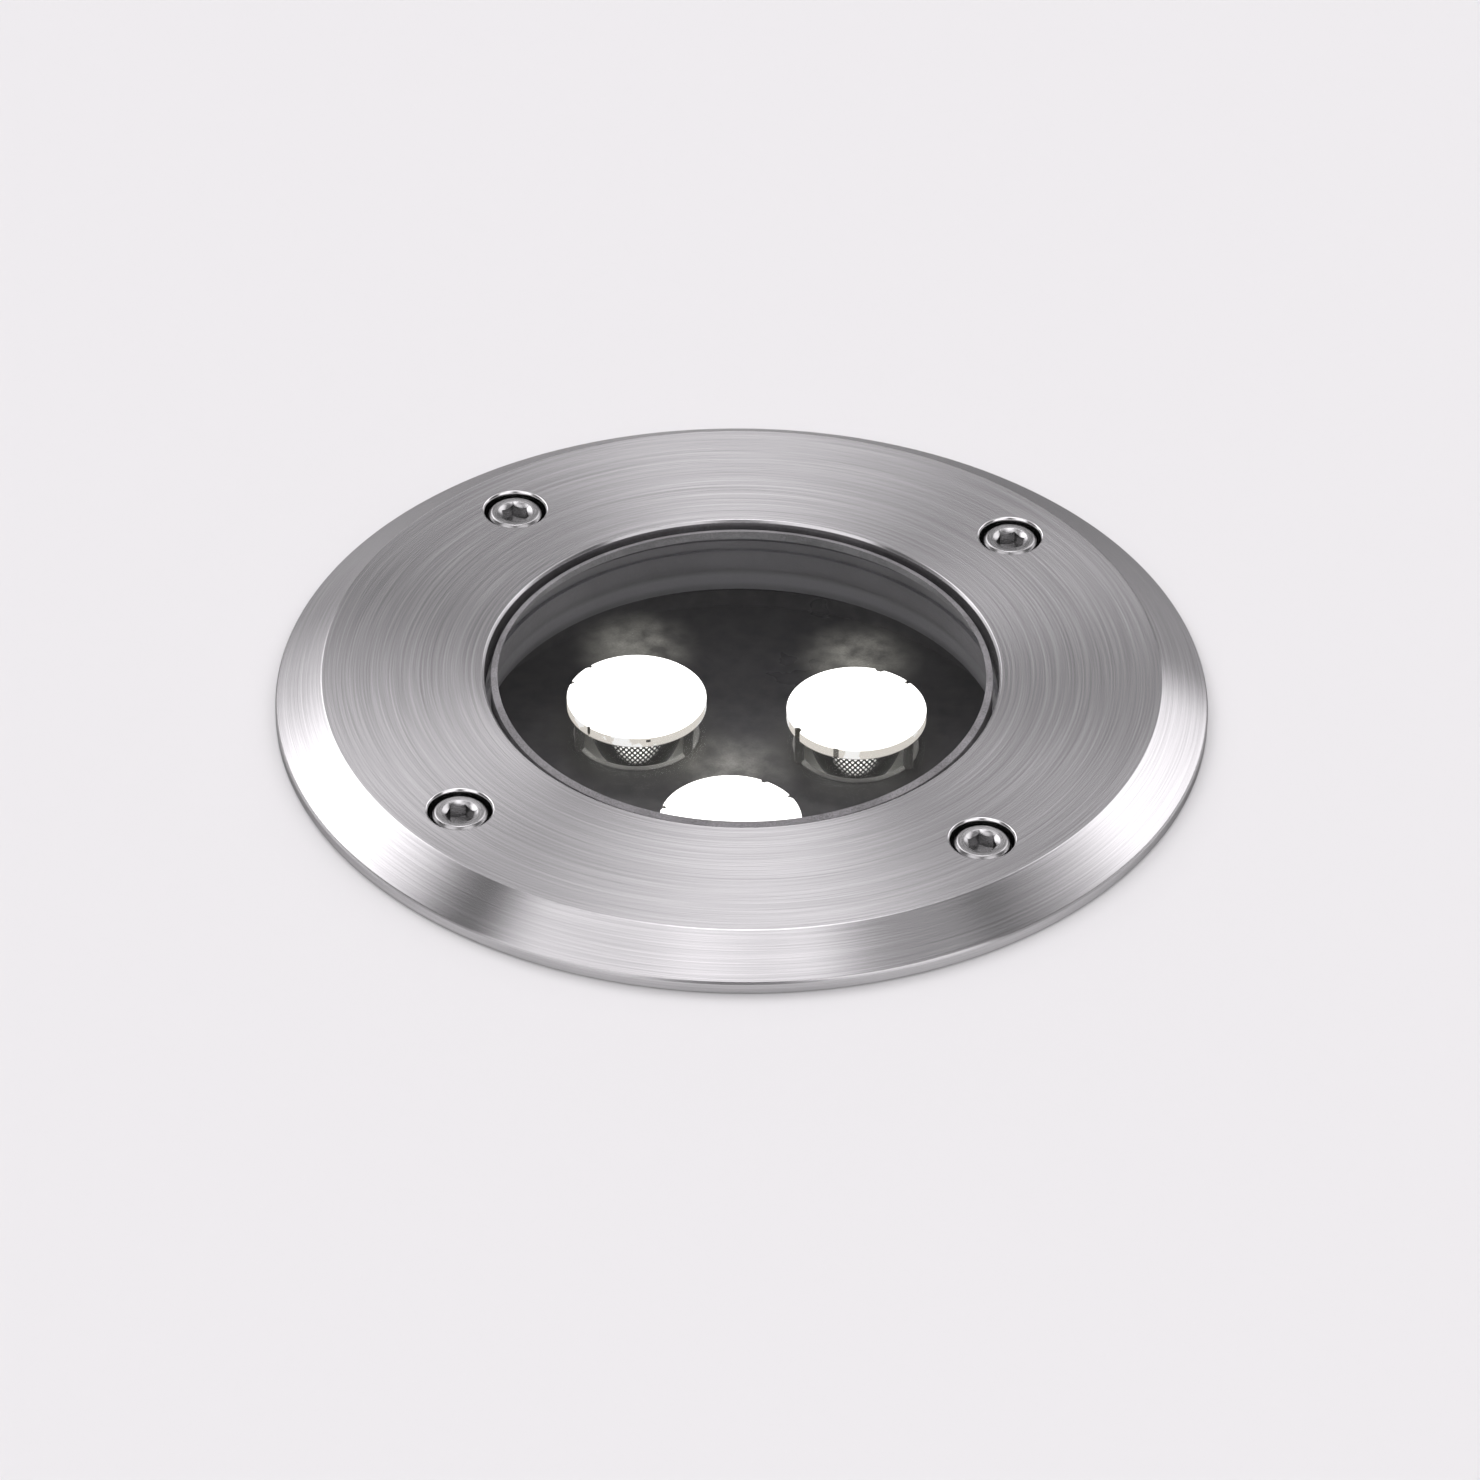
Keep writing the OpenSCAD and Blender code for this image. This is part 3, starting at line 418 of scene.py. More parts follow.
def drilled(first, low, high, last, z, hole):
    """A flat ring with four holes. Its rows run from the first radius to the last, and those
    from low to high frame the windows. In a window the point is edge + (frame - edge) * t."""
    radii = np.concatenate([[first], np.linspace(low, high, 2 * HALF_WINDOW + 1), [last]])
    ring = turned(np.stack([radii, z + 0 * radii], axis=1))
    keep = np.ones((len(radii) - 1, len(ROUND)), bool)
    grids = []
    t = np.array(FILL_SHARES)[:, None, None]
    for azimuth in SCREWS_AT:
        a, b = azimuth - HALF_WINDOW, azimuth + HALF_WINDOW
        keep[1:-1, a:b] = False
        frame_edge = np.concatenate([ring[1, a:b], ring[1:-2, b], ring[-2, b:a:-1], ring[-2:1:-1, a]])
        centre, directions = hole_place(azimuth)
        edge = turned([(hole, z)], directions, centre)[0]
        grids.append(quads(edge + (frame_edge - edge) * t))
    return [quads(ring, keep)] + grids


# %% Bezel
RING_R, FACE_R, REGISTER_R, SEAT_R, OPENING_R = 72.5, 65.25, 64.0, 47.6, 40.0
RING_TOP, RIM_TOP, SEAT_HIGH, REGISTER_LOW = 6.5, 1.75, 2.0, -3.0
BEVEL_END, LIP, RING_EASE, INNER_EASE = (72.29, 2.13), 0.35, 0.10, 0.07
BORE_R, BORE_FLOOR, SHANK_HOLE_R, BORE_REACH = 4.9, 0.3, 2.75, 5.3
# The two drilled faces: their inner and outer radii, their windows' radii, and those of the holes
FACE_IN, WINDOW_IN, FACE_WINDOW_OUT, FACE_HOLE = 41.0, 48.5, 63.5, 6.1
BELOW_IN, BELOW_OUT, BELOW_WINDOW_OUT, BELOW_HOLE = 48.0, 63.0, 62.5, 3.2
outside = [(REGISTER_R, RING_TOP), (FACE_R, RING_TOP), BEVEL_END, (RING_R, RIM_TOP), (RING_R, CHAMFER),
           (RING_R - CHAMFER, 0), (REGISTER_R, 0), (REGISTER_R, REGISTER_LOW + CHAMFER),
           (REGISTER_R - CHAMFER, REGISTER_LOW), (BELOW_OUT, REGISTER_LOW)]
inside = [(BELOW_IN, REGISTER_LOW), (SEAT_R, REGISTER_LOW), (SEAT_R, SEAT_HIGH), (OPENING_R, SEAT_HIGH),
          (OPENING_R, RING_TOP - LIP), (OPENING_R + LIP, RING_TOP), (FACE_IN, RING_TOP)]
counterbore = [(FACE_HOLE, RING_TOP), (BORE_R + CHAMFER, RING_TOP), (BORE_R, RING_TOP - CHAMFER),
               (BORE_R, BORE_FLOOR), (SHANK_HOLE_R, BORE_FLOOR), (SHANK_HOLE_R, REGISTER_LOW),
               (BELOW_HOLE, REGISTER_LOW)]
grids = [quads(turned(eased(outside, RING_EASE))), quads(turned(eased(inside, INNER_EASE)))]
grids += drilled(FACE_IN, WINDOW_IN, FACE_WINDOW_OUT, REGISTER_R, RING_TOP, FACE_HOLE)
grids += drilled(BELOW_IN, WINDOW_IN, BELOW_WINDOW_OUT, BELOW_OUT, REGISTER_LOW, BELOW_HOLE)
for azimuth in SCREWS_AT:
    centre, directions = hole_place(azimuth)
    grids.append(quads(turned(eased(counterbore, INNER_EASE), directions, centre)))
mesh = sewn("turned_bezel", grids)
middle = np.abs(np.array([tuple(face.center) for face in mesh.polygons]))
in_bore = np.hypot(middle[:, 0] - FOLD, middle[:, 1] - FOLD) < BORE_REACH * METRES
mesh.polygons.foreach_set("material_index", in_bore.astype(np.int32))
place("turned_bezel", mesh, [RING_STEEL, PALER_BORE_STEEL], "bezel", "bezel")
print("faces in the counterbores", int(in_bore.sum()))

# %% [markdown]
# Cap screws
#
# A screw is a cylindrical head with a hexagon socket and a threaded shank. Its head is a stack
# of rings that change from a hexagon to circles, so the socket's corners are true. The
# hexagon's radius is half its width over the cosine of the angle from the nearest flat's middle.
# Round the head's side runs a knurl, a cosine of twenty-four times the angle. The thread is a
# real helix: the radius falls by a triangle wave of the height less the turn's share of the
# pitch. The wave's top and bottom are cut flat, and it fades in and out at the thread's ends.

# %% Screws
SIDES = 96
angles = np.arange(SIDES) * 2 * math.pi / SIDES
HEAD_TOP, HEAD_LOW, TIP = 6.1, 1.1, -10.9
HEAD_R, SHANK_R, SOCKET_R, SOCKET_DEEP, DRILL_POINT = 4.25, 2.5, 2.0, 2.6, 1.0
CONE_R, CONE_SLOPE, FLAT_R = 2.75, 0.75, 3.5
HEAD_BEVEL, HEAD_EASE = 0.45, 0.12
KNURLS, KNURL_DEPTH, KNURL_LOW, KNURL_HIGH = 24, 0.045, HEAD_LOW + 0.5, HEAD_LOW + 3.9
PITCH, DEPTH, CREST, THREAD_ROWS = 0.8, 0.45, 0.125, 105
THREAD_HIGH, THREAD_LOW = HEAD_LOW - 1.0, TIP + 0.5
# Rows this near an edge hold it crisp
NEAR = 0.05
hexagon = SOCKET_R / np.cos((angles + math.pi / 6) % (math.pi / 3) - math.pi / 6)


def ring_row(radius, height):
    """One ring of the screw, whose radius and height may change round it."""
    return np.stack([radius + 0 * angles, height + 0 * angles], axis=-1)


socket_floor = HEAD_TOP - SOCKET_DEEP
mouth = HEAD_TOP - (CONE_R - hexagon) * CONE_SLOPE
rows = [ring_row(0, socket_floor - DRILL_POINT), ring_row(SOCKET_R, socket_floor),
        ring_row(hexagon * 0.999, socket_floor), ring_row(hexagon, socket_floor + NEAR),
        ring_row(hexagon, mouth - NEAR), ring_row(hexagon, mouth),
        ring_row(CONE_R - 0.04, HEAD_TOP - 0.01), ring_row(CONE_R + NEAR, HEAD_TOP)]
knurl = KNURL_DEPTH * (1 - np.cos(angles * KNURLS))
head_edge = [(FLAT_R, HEAD_TOP), (HEAD_R - HEAD_BEVEL, HEAD_TOP), (HEAD_R, HEAD_TOP - HEAD_BEVEL),
             (HEAD_R, KNURL_HIGH + 2 * NEAR)]
neck = [(HEAD_R, HEAD_LOW + 0.3), (HEAD_R, HEAD_LOW), (SHANK_R, HEAD_LOW), (SHANK_R, HEAD_LOW - 0.9)]
rows += [ring_row(*point) for point in eased(head_edge, HEAD_EASE)]
rows += [ring_row(HEAD_R - knurl, KNURL_HIGH), ring_row(HEAD_R - knurl, KNURL_LOW),
         ring_row(HEAD_R, HEAD_LOW + 0.35)]
rows += [ring_row(*point) for point in eased(neck, HEAD_EASE)]
heights = np.linspace(THREAD_HIGH, THREAD_LOW, THREAD_ROWS)[:, None]
wave = np.abs(((heights / PITCH - angles / (2 * math.pi)) % 1) * 2 - 1)
fade = np.clip(np.minimum(THREAD_HIGH - heights, heights - THREAD_LOW) / PITCH, 0, 1)
groove = DEPTH * fade * np.clip(wave * (1 + 2 * CREST) - CREST, 0, 1)
thread = np.stack([SHANK_R - groove, heights + 0 * wave], axis=-1)
tip = [ring_row(SHANK_R - DEPTH, TIP), ring_row(1.0, TIP), ring_row(0, TIP)]
stack = np.concatenate([np.stack(rows), thread, np.stack(tip)])

for number, azimuth in enumerate(SCREWS_AT, 1):
    spin, centre = math.radians(azimuth), around(SCREW_RING, azimuth)
    x = centre[0] + stack[..., 0] * np.cos(angles + spin)
    y = centre[1] + stack[..., 0] * np.sin(angles + spin)
    name = f"cap_screw_{number}"
    mesh = sewn(name, [quads(np.stack([x, y, stack[..., 1]], axis=-1))])
    place(name, mesh, [SCREW_STEEL], f"screw_{number}", f"screw_{number}")

# %% [markdown]
# Glass
#
# The glass is a thick stepped disc with polished faces. Its upper edge is ground to a narrow grey
# slope, which shows as a light ring inside the dark gap, and so is the wall below it. The clear
# part is a plain glass shader that lets straight light through for shadow and diffuse rays, so
# the pieces behind it are lit without noise.
#
# A little dew on the under side is lit where a lens's beam goes through it, and this light is a painted
# glow, an emission in the glass. It is brightest on each lens's axis, by one less the distance over the
# reach, smoothed at both ends.

# %% Glow round the lens axes
LENS_RING, LENS_COUNT, FIRST_LENS_AT = 0.02005, 3, 30
DARK = (0, 0, 0, 1)


def lens_axis(index):
    """Where one lens's axis stands, in metres from the light's own."""
    return around(LENS_RING, FIRST_LENS_AT + index * 360 / LENS_COUNT)


def lens_glow(tree, where, reach, inner):
    """1 near any lens's axis and 0 beyond the reach, in metres, with a smooth fall between."""
    x, y = split(tree, where)[:2]
    glow = 0.0
    for index in range(LENS_COUNT):
        lens_x, lens_y = lens_axis(index)
        distance = from_axis(tree, sums(tree, "SUBTRACT", x, lens_x), sums(tree, "SUBTRACT", y, lens_y))
        glow = sums(tree, "MAXIMUM", glow, between(tree, distance, reach, inner, smooth=True))
    return glow


# %% Glass finishes
CLEAR, tree, shader = begin("clear glass", Base_Color=(0.965, 0.967, 0.97, 1), Roughness=0.0,
                            Transmission_Weight=1.0, IOR=1.5, Emission_Strength=1.0)
through = add(tree, "ShaderNodeBsdfTransparent", {0: (0.92, 0.94, 0.94, 1)})
paths = add(tree, "ShaderNodeLightPath").outputs
straight = sums(tree, "MAXIMUM", paths["Is Shadow Ray"], paths["Is Diffuse Ray"])
either = add(tree, "ShaderNodeMixShader", {0: straight, 1: shader.outputs[0], 2: through.outputs[0]})
tree.links.new(either.outputs[0], tree.nodes["Material Output"].inputs["Surface"])
# Painted glow of the dew in the lenses' beams, mottled by the grain
BEAM_LIT_DEW_GLOW, DEW_GLOW_REACH, UNDER_SIDE = (0.24, 0.235, 0.21, 1), 0.0115, (-0.0018, -0.0021)
where = position(tree)
above_lens = times(tree, lens_glow(tree, where, DEW_GLOW_REACH, 0.0),
                   between(tree, split(tree, where)[2], *UNDER_SIDE))
masks = use(tree, GRAIN, Size=0.0003, Patch=0.0035)
spots = times(tree, between(tree, masks["Patches"], 0.1, 0.9, to_low=0.3, to_high=1.0),
              stretched(tree, masks["Grain"], 0.75, 1.1))
feed(tree, shader, Emission_Color=blended(tree, times(tree, above_lens, spots), DARK, BEAM_LIT_DEW_GLOW))

GROUND, tree, shader = begin("ground glass edge", Roughness=0.6, Specular_IOR_Level=0.3)
masks = use(tree, GRAIN, Size=0.00022, Patch=0.006)
frost = weighed(tree, masks["Grain"], 0.6, masks["Patches"], 0.4)
feed(tree, shader, Base_Color=blended(tree, frost, (0.09, 0.087, 0.09, 1), (0.36, 0.352, 0.362, 1)))
raise_bump(tree, shader, masks["Grain"], depth=0.00002, strength=0.6)

# %% Glass disc
UNDER, FLANGE_TOP, GLASS_TOP, FLANGE_R, DISC_R = -2.2, 1.0, 5.8, 47, 39
GROUND_WIDE, GROUND_DEEP, FACE_LOOP, GLASS_EASE = 1.0, 0.35, 20, 0.05
GROUND_FROM, GROUND_TO, GROUND_LOW = 37.8, 39.1, 0.99
outline = [(0, UNDER), (FACE_LOOP, UNDER), (FLANGE_R - CHAMFER, UNDER), (FLANGE_R, UNDER + CHAMFER),
           (FLANGE_R, FLANGE_TOP - CHAMFER), (FLANGE_R - CHAMFER, FLANGE_TOP), (DISC_R, FLANGE_TOP),
           (DISC_R, GLASS_TOP - GROUND_DEEP), (DISC_R - GROUND_WIDE, GLASS_TOP),
           (FACE_LOOP, GLASS_TOP), (0, GLASS_TOP)]
mesh = sewn("polished_glass", [quads(turned(eased(outline, GLASS_EASE)))])
middle = np.array([tuple(face.center) for face in mesh.polygons]) / METRES
distance = np.hypot(middle[:, 0], middle[:, 1])
ground = (distance > GROUND_FROM) & (distance < GROUND_TO) & (middle[:, 2] > GROUND_LOW)
mesh.polygons.foreach_set("material_index", ground.astype(np.int32))
place("polished_glass", mesh, [CLEAR, GROUND], "housing", "glass")
print("ground faces", int(ground.sum()))

# %% [markdown]
# Lenses
#
# Three moulded lenses stand over the emitters, which are lit in the photograph. Each is a flat
# rim on a bowl whose radius grows with the square root of its height, and stands on three legs.
# Small notches are cut into the rim, where the moulding was held. Inside a notch's width the
# radius is held to the rim's radius less the notch's depth.

# %% Lens meshes
LENS_R, NECK_R, FOOT_R, POCKET_R = 11.0, 8.5, 4.3, 2.7
LENS_Z, NECK_Z, PLATE_Z, POCKET_Z, LENS_LOW = -11.4, -13.4, -18.7, -18.5, -23.0
LEG_RING, LEG_R, LEG_TOP, LEGS_AT = 9.9, 0.8, NECK_Z + 0.1, (90, 210, 330)
LENS_EASE, RIM_EASE, RIM_IN, BOWL_ROWS = 0.1, 0.06, 9.6, 13
# The wall has rows of points just beside the heights where a short notch starts or ends
WALL_ROWS = (NECK_Z, -12.55, -12.45, -12.05, -11.95, LENS_Z - CHAMFER)
# Each notch: degrees round, half width, depth, and the heights between which it is cut
THROUGH = (-14, -11)
NOTCHES = [
    [(45, 0.5, 0.8, *THROUGH), (74, 0.6, 0.75, *THROUGH), (216, 0.6, 0.7, *THROUGH),
     (257, 0.5, 0.1, *THROUGH)],
    [(139, 0.4, 0.7, *THROUGH), (166, 0.4, 0.7, *THROUGH), (232, 0.2, 0.3, -12.6, -11),
     (285, 0.3, 0.6, -12.5, -12.0)],
    [(36, 0.4, 0.7, *THROUGH), (66, 0.45, 0.7, *THROUGH), (170, 0.5, 0.7, *THROUGH)],
]
NOTCH_EASE = 0.15


def lens_mesh(index):
    """One lens with its notches and legs."""
    centre = lens_axis(index) / METRES
    t = np.linspace(0, 1, BOWL_ROWS)[1:]
    bowl_r, bowl_z = FOOT_R + (NECK_R - FOOT_R) * np.sqrt(t), LENS_LOW + (NECK_Z - LENS_LOW) * t
    bowl = np.stack([bowl_r, bowl_z], axis=1)
    foot = [(0, POCKET_Z), (POCKET_R, POCKET_Z), (POCKET_R, LENS_LOW), (FOOT_R, LENS_LOW), bowl[0]]
    under = eased(foot, LENS_EASE)
    wall = [(LENS_R, z) for z in WALL_ROWS]
    top = [(LENS_R - CHAMFER, LENS_Z), (RIM_IN, LENS_Z), (0, LENS_Z)]
    rim = eased([bowl[-1], *wall, *top], RIM_EASE)
    points = turned(np.concatenate([under, bowl[1:-1], rim]), ROUND, centre)
    offset = points[..., :2] - centre
    radius = np.hypot(offset[..., 0], offset[..., 1])
    azimuth = np.arctan2(offset[..., 1], offset[..., 0])
    held = radius.copy()
    for degrees, half_width, depth, low, high in NOTCHES[index]:
        away = np.abs((azimuth - math.radians(degrees) + math.pi) % (2 * math.pi) - math.pi) * LENS_R
        share = np.clip((half_width - away) / NOTCH_EASE + 0.5, 0, 1)
        share = share * (points[..., 2] > low) * (points[..., 2] < high)
        held = np.minimum(held, LENS_R - depth * share)
    points[..., :2] = centre + offset * (held / np.maximum(radius, 1e-9))[..., None]
    leg = eased([(0, PLATE_Z), (LEG_R, PLATE_Z), (LEG_R, LEG_TOP), (0, LEG_TOP)], LENS_EASE)
    grids = [quads(points)]
    for degrees in LEGS_AT:
        grids.append(quads(turned(leg, ROUND[::10], centre + around(LEG_RING, degrees))))
    return sewn(f"moulded_lens_{index + 1}", grids)


# %% [markdown]
# Lens finish
#
# The emitters' light in the lenses is painted glow, an emission: the lenses' tops burn out to white and
# their rims glow a warm cream. Below a rim the bowl shows a lattice of small bright points, a painted
# reflection that shows only where the eye looks at it squarely, and the bowl's glow is dark at its sides,
# as a clear solid that sends its light upwards is. The points lie where the cosine of the height and the
# cosine of the angle round the axis differ most, so that every other row is shifted by half a step. The
# material is centred on its lens and splits it by height and radius.

# %% Lens finish
LENS_TOP = LENS_Z * METRES
COLUMNS, ROW_PITCH = 54.0, 0.00124
LATTICE_EDGE, SQUARELY = (0.9, 1.4), (0.48, 0.40)
BOWL_EDGE, RIM_EDGE = (0.0086, 0.0088), (0.01089, 0.01096)
# Heights below the lens's top: where the rim ends, where its wall begins, and where the face does
RIM_LOW, WALL_LOW, FACE_LOW = (-0.00215, -0.00203), (-0.00195, -0.0018), (-0.00034, -0.0002)
# Painted glow: these emission colours stand in for the emitters' light in the lens
FACE_GLOW, POINT_GLOW = (2.6, 2.58, 2.52, 1), (1.6, 1.58, 1.5, 1)
BOWL_GLOW, LEG_GLOW = (0.006, 0.006, 0.005, 1), (0.03, 0.029, 0.026, 1)
LEDGE_GLOW = (0.035, 0.032, 0.024, 1)
CREAM_GLOW, PALE_CREAM_GLOW = (0.70, 0.66, 0.60, 1), (0.95, 0.945, 0.93, 1)
BODY, RIM_BASE = (0.03, 0.03, 0.026, 1), (0.25, 0.24, 0.22, 1)


def lens_finish(index):
    """Painted glow: bright top, cream rim and a lattice of reflection points on the body, round the lens's
    own axis.
    """
    material, tree, shader = begin(f"lens {index + 1}", Roughness=0.3, Emission_Strength=1.0)
    local = vectors(tree, "SUBTRACT", position(tree), (*lens_axis(index), LENS_TOP))[0]
    x, y, z = split(tree, local)
    spread = from_axis(tree, x, y)
    column = times(tree, sums(tree, "ARCTAN2", y, x), COLUMNS)
    row = times(tree, z, 2 * math.pi / ROW_PITCH)
    lattice = sums(tree, "SUBTRACT", sums(tree, "COSINE", row), sums(tree, "COSINE", column))
    points = between(tree, sums(tree, "ABSOLUTE", lattice), *LATTICE_EDGE, smooth=True)
    facing = add(tree, "ShaderNodeLayerWeight", {"Blend": 0.5}).outputs["Facing"]
    in_bowl = between(tree, spread, BOWL_EDGE[1], BOWL_EDGE[0])
    points = times(tree, points, times(tree, between(tree, facing, *SQUARELY), in_bowl))
    patches = use(tree, GRAIN, Size=0.0003, Patch=0.005)
    rim = blended(tree, between(tree, patches["Patches"], 0.62, 0.66), CREAM_GLOW, PALE_CREAM_GLOW)
    dark = blended(tree, between(tree, spread, *BOWL_EDGE), BOWL_GLOW, LEG_GLOW)
    body = blended(tree, points, dark, POINT_GLOW)
    outer = between(tree, spread, *RIM_EDGE)
    glow = blended(tree, between(tree, z, *RIM_LOW), body, LEDGE_GLOW)
    glow = blended(tree, times(tree, outer, between(tree, z, *WALL_LOW)), glow, rim)
    glow = blended(tree, between(tree, z, *FACE_LOW), glow, FACE_GLOW)
    feed(tree, shader, Emission_Color=glow, Base_Color=blended(tree, outer, BODY, RIM_BASE))
    return material


LENSES = [lens_finish(index) for index in range(LENS_COUNT)]
print("lens materials", len(LENSES))

# %% [markdown]
# The chamber
#
# Under the glass are a grey wall and a black moulded plate that the lenses stand on.
# The plate has a slightly cloudy, dusty gloss, and round each lens its colour is painted lighter, a painted
# pool of the lens's light. A small round bead edges each of its holes, and some of the lens's light leaks
# over it as a painted glow, an emission, which draws a light crescent in front of each lens. The imported
# solids are loose triangles, so a copy is merged and shaded smooth: then a round wall shows no facets.

# %% Smooth copies of imported solids
def smoothed(name, material, body, added=None):
    """A merged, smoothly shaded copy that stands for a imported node, with an added mesh."""
    mesh = nodes[name].data.copy()
    mesh.materials.clear()
    work = bmesh.new()
    work.from_mesh(mesh)
    bmesh.ops.remove_doubles(work, verts=work.verts, dist=MERGE)
    if added:
        work.from_mesh(added)
    work.to_mesh(mesh)
    work.free()
    if "custom_normal" in mesh.attributes:
        mesh.attributes.remove(mesh.attributes["custom_normal"])
    mesh.shade_smooth()
    mesh.set_sharp_from_angle(angle=CRISP_COPY)
    print(name, "merged to", len(mesh.vertices), "points")
    place(f"{name}_smooth", mesh, [material], body, name)


# %% Plate finish
LIGHT_POOL_REACH, LIGHT_POOL_INNER, LEAK_REACH, LEAK_INNER = 0.016, 0.008, 0.0102, 0.0098
# The leak shows only where the beads stand above the plate, between these heights and up
BEADS_FROM = (-0.01868, -0.0186)
PLATE, tree, shader = begin("black moulded plate", Specular_IOR_Level=0.5, Emission_Strength=1.0)
where = position(tree)
masks = use(tree, GRAIN, Size=0.0004, Patch=0.014)
dust = use(tree, GRAIN, Size=0.0007, Patch=0.0025)
mottle = weighed(tree, masks["Patches"], 0.4, dust["Patches"], 0.6)
cloudy = blended(tree, mottle, (0.034, 0.032, 0.034, 1), (0.076, 0.072, 0.073, 1))
# Painted light: the plate's colour is lighter round each lens, a pool of the lens's light
lens_light_pool = times(tree, lens_glow(tree, where, LIGHT_POOL_REACH, LIGHT_POOL_INNER),
              stretched(tree, masks["Patches"], 0.2, 0.9))
feed(tree, shader, Base_Color=blended(tree, lens_light_pool, cloudy, (0.13, 0.125, 0.11, 1)),
     Roughness=stretched(tree, masks["Patches"], 0.27, 0.32))
raise_bump(tree, shader, masks["Grain"], depth=0.00001, strength=0.4)
# Painted glow: an emission on the beads stands in for the lens's light leaking over them
bead_glow = times(tree, lens_glow(tree, where, LEAK_REACH, LEAK_INNER),
             between(tree, split(tree, where)[2], *BEADS_FROM))
broken = between(tree, masks["Patches"], 0.2, 0.8, to_low=0.35, to_high=1.0)
feed(tree, shader, Emission_Color=blended(tree, times(tree, bead_glow, broken), DARK, (0.23, 0.225, 0.21, 1)))

# %% Beads round the plate's holes
HOLE_EDGE, BEAD, BEAD_HIGH, BEAD_SUNK = 9.5, 0.5, 0.4, 0.05
half = np.radians(np.linspace(0, 180, 13))
bead_height = PLATE_Z - BEAD_SUNK + BEAD_HIGH * np.sin(half)
bead = np.stack([HOLE_EDGE - BEAD * np.cos(half), bead_height], axis=1)
section = np.concatenate([bead, bead[:1]])
grids = []
for index in range(LENS_COUNT):
    centre = lens_axis(index) / METRES
    grids.append(quads(turned(section, ROUND[::3], centre)))
BEADS = sewn("hole_beads", grids)

# %% [markdown]
# Finishes without direction
#
# Most other parts are cast, moulded or coated. They share one recipe: two tones mixed by the slow patches,
# a roughness that varies a little with them, and a fine grain as relief. Each has its own tones, sizes and
# depth, from soft rubber to hard glossy insulation. The housing's coat is paler inside the chamber, and
# palest in a band round the low part of the wall that is seen: that band is painted light.

# %% Plain finishes
def plain(name, dark, light, roughness, size=0.0004, patch=0.012, depth=0.00002):
    """A finish with no direction: two tones, a range of roughness and a fine grain."""
    material, tree, shader = begin(name)
    masks = use(tree, GRAIN, Size=size, Patch=patch)
    feed(tree, shader, Base_Color=blended(tree, masks["Patches"], (*dark, 1), (*light, 1)),
         Roughness=stretched(tree, masks["Patches"], *roughness))
    raise_bump(tree, shader, masks["Grain"], depth, strength=0.6)
    return material


CHAMBER_R, CHAMBER_LOW = (0.0420, 0.0415), (-0.0121, -0.0119)
# The heights of a band of painted light low on the chamber's wall
FOOT_TOP, FOOT_LOW = (-0.0078, -0.0090), (-0.0112, -0.0100)
CASTING, tree, shader = begin("coated casting")
masks = use(tree, GRAIN, Size=0.0006, Patch=0.02)
x, y, z = split(tree, position(tree))
within = between(tree, from_axis(tree, x, y), *CHAMBER_R)
chamber = times(tree, within, between(tree, z, *CHAMBER_LOW))
# Painted light: a paler band round the low part of the chamber's wall
foot = times(tree, between(tree, z, *FOOT_TOP, smooth=True), between(tree, z, *FOOT_LOW, smooth=True))
foot = times(tree, foot, chamber)
coat = blended(tree, masks["Patches"], (0.085, 0.085, 0.09, 1), (0.115, 0.115, 0.12, 1))
wall = blended(tree, masks["Patches"], (0.155, 0.15, 0.157, 1), (0.205, 0.198, 0.207, 1))
# The palest tone is the band's painted light
tone = blended(tree, foot, blended(tree, chamber, coat, wall), (0.26, 0.255, 0.265, 1))
feed(tree, shader, Base_Color=tone, Roughness=stretched(tree, chamber, 0.58, 0.36))
raise_bump(tree, shader, masks["Grain"], depth=0.00005, strength=0.5)

COAT = plain("grey powder coat", (0.085, 0.085, 0.09), (0.115, 0.115, 0.12), (0.5, 0.62),
             size=0.0006, patch=0.02, depth=0.00005)
RUBBER = plain("black rubber", (0.018, 0.018, 0.019), (0.035, 0.035, 0.036), (0.7, 0.85),
               size=0.0003, patch=0.008)
SILICONE = plain("grey silicone", (0.16, 0.155, 0.162), (0.2, 0.193, 0.202), (0.45, 0.6),
                 patch=0.01, depth=0.00001)
PAD = plain("silicone pad", (0.3, 0.4, 0.52), (0.36, 0.46, 0.58), (0.6, 0.75), size=0.0005, patch=0.01)
RED = plain("red insulation", (0.42, 0.03, 0.02), (0.5, 0.045, 0.03), (0.28, 0.36),
            size=0.0006, patch=0.006, depth=0.000008)
BLACK = plain("black insulation", (0.012, 0.012, 0.012), (0.025, 0.025, 0.025), (0.28, 0.36),
              size=0.0006, patch=0.006, depth=0.000008)
CHIP = plain("moulded epoxy", (0.012, 0.012, 0.013), (0.03, 0.03, 0.03), (0.45, 0.6),
             size=0.00025, patch=0.004, depth=0.00001)
TERMINAL = plain("green moulding", (0.03, 0.18, 0.07), (0.045, 0.23, 0.09), (0.32, 0.42),
                 size=0.0005, patch=0.006, depth=0.00001)
NYLON = plain("natural nylon", (0.6, 0.58, 0.51), (0.68, 0.66, 0.6), (0.42, 0.55),
              patch=0.006, depth=0.00001)
PHOSPHOR = plain("emitter dome", (0.8, 0.6, 0.12), (0.9, 0.75, 0.25), (0.15, 0.25),
                 size=0.0002, patch=0.002, depth=0.000004)
WHITE_BOARD = plain("white solder mask", (0.7, 0.7, 0.66), (0.78, 0.78, 0.75), (0.3, 0.42),
                    size=0.0005, depth=0.000008)

# %% [markdown]
# Turned metals
#
# Brass posts, the aluminium spreader, nickel gland parts and small screws are turned or plated.
# They share the turning marks, read from the light's own axis. On parts that stand away from
# the axis the marks then run across them in slight arcs, as a lathe's or a mill's passes do.

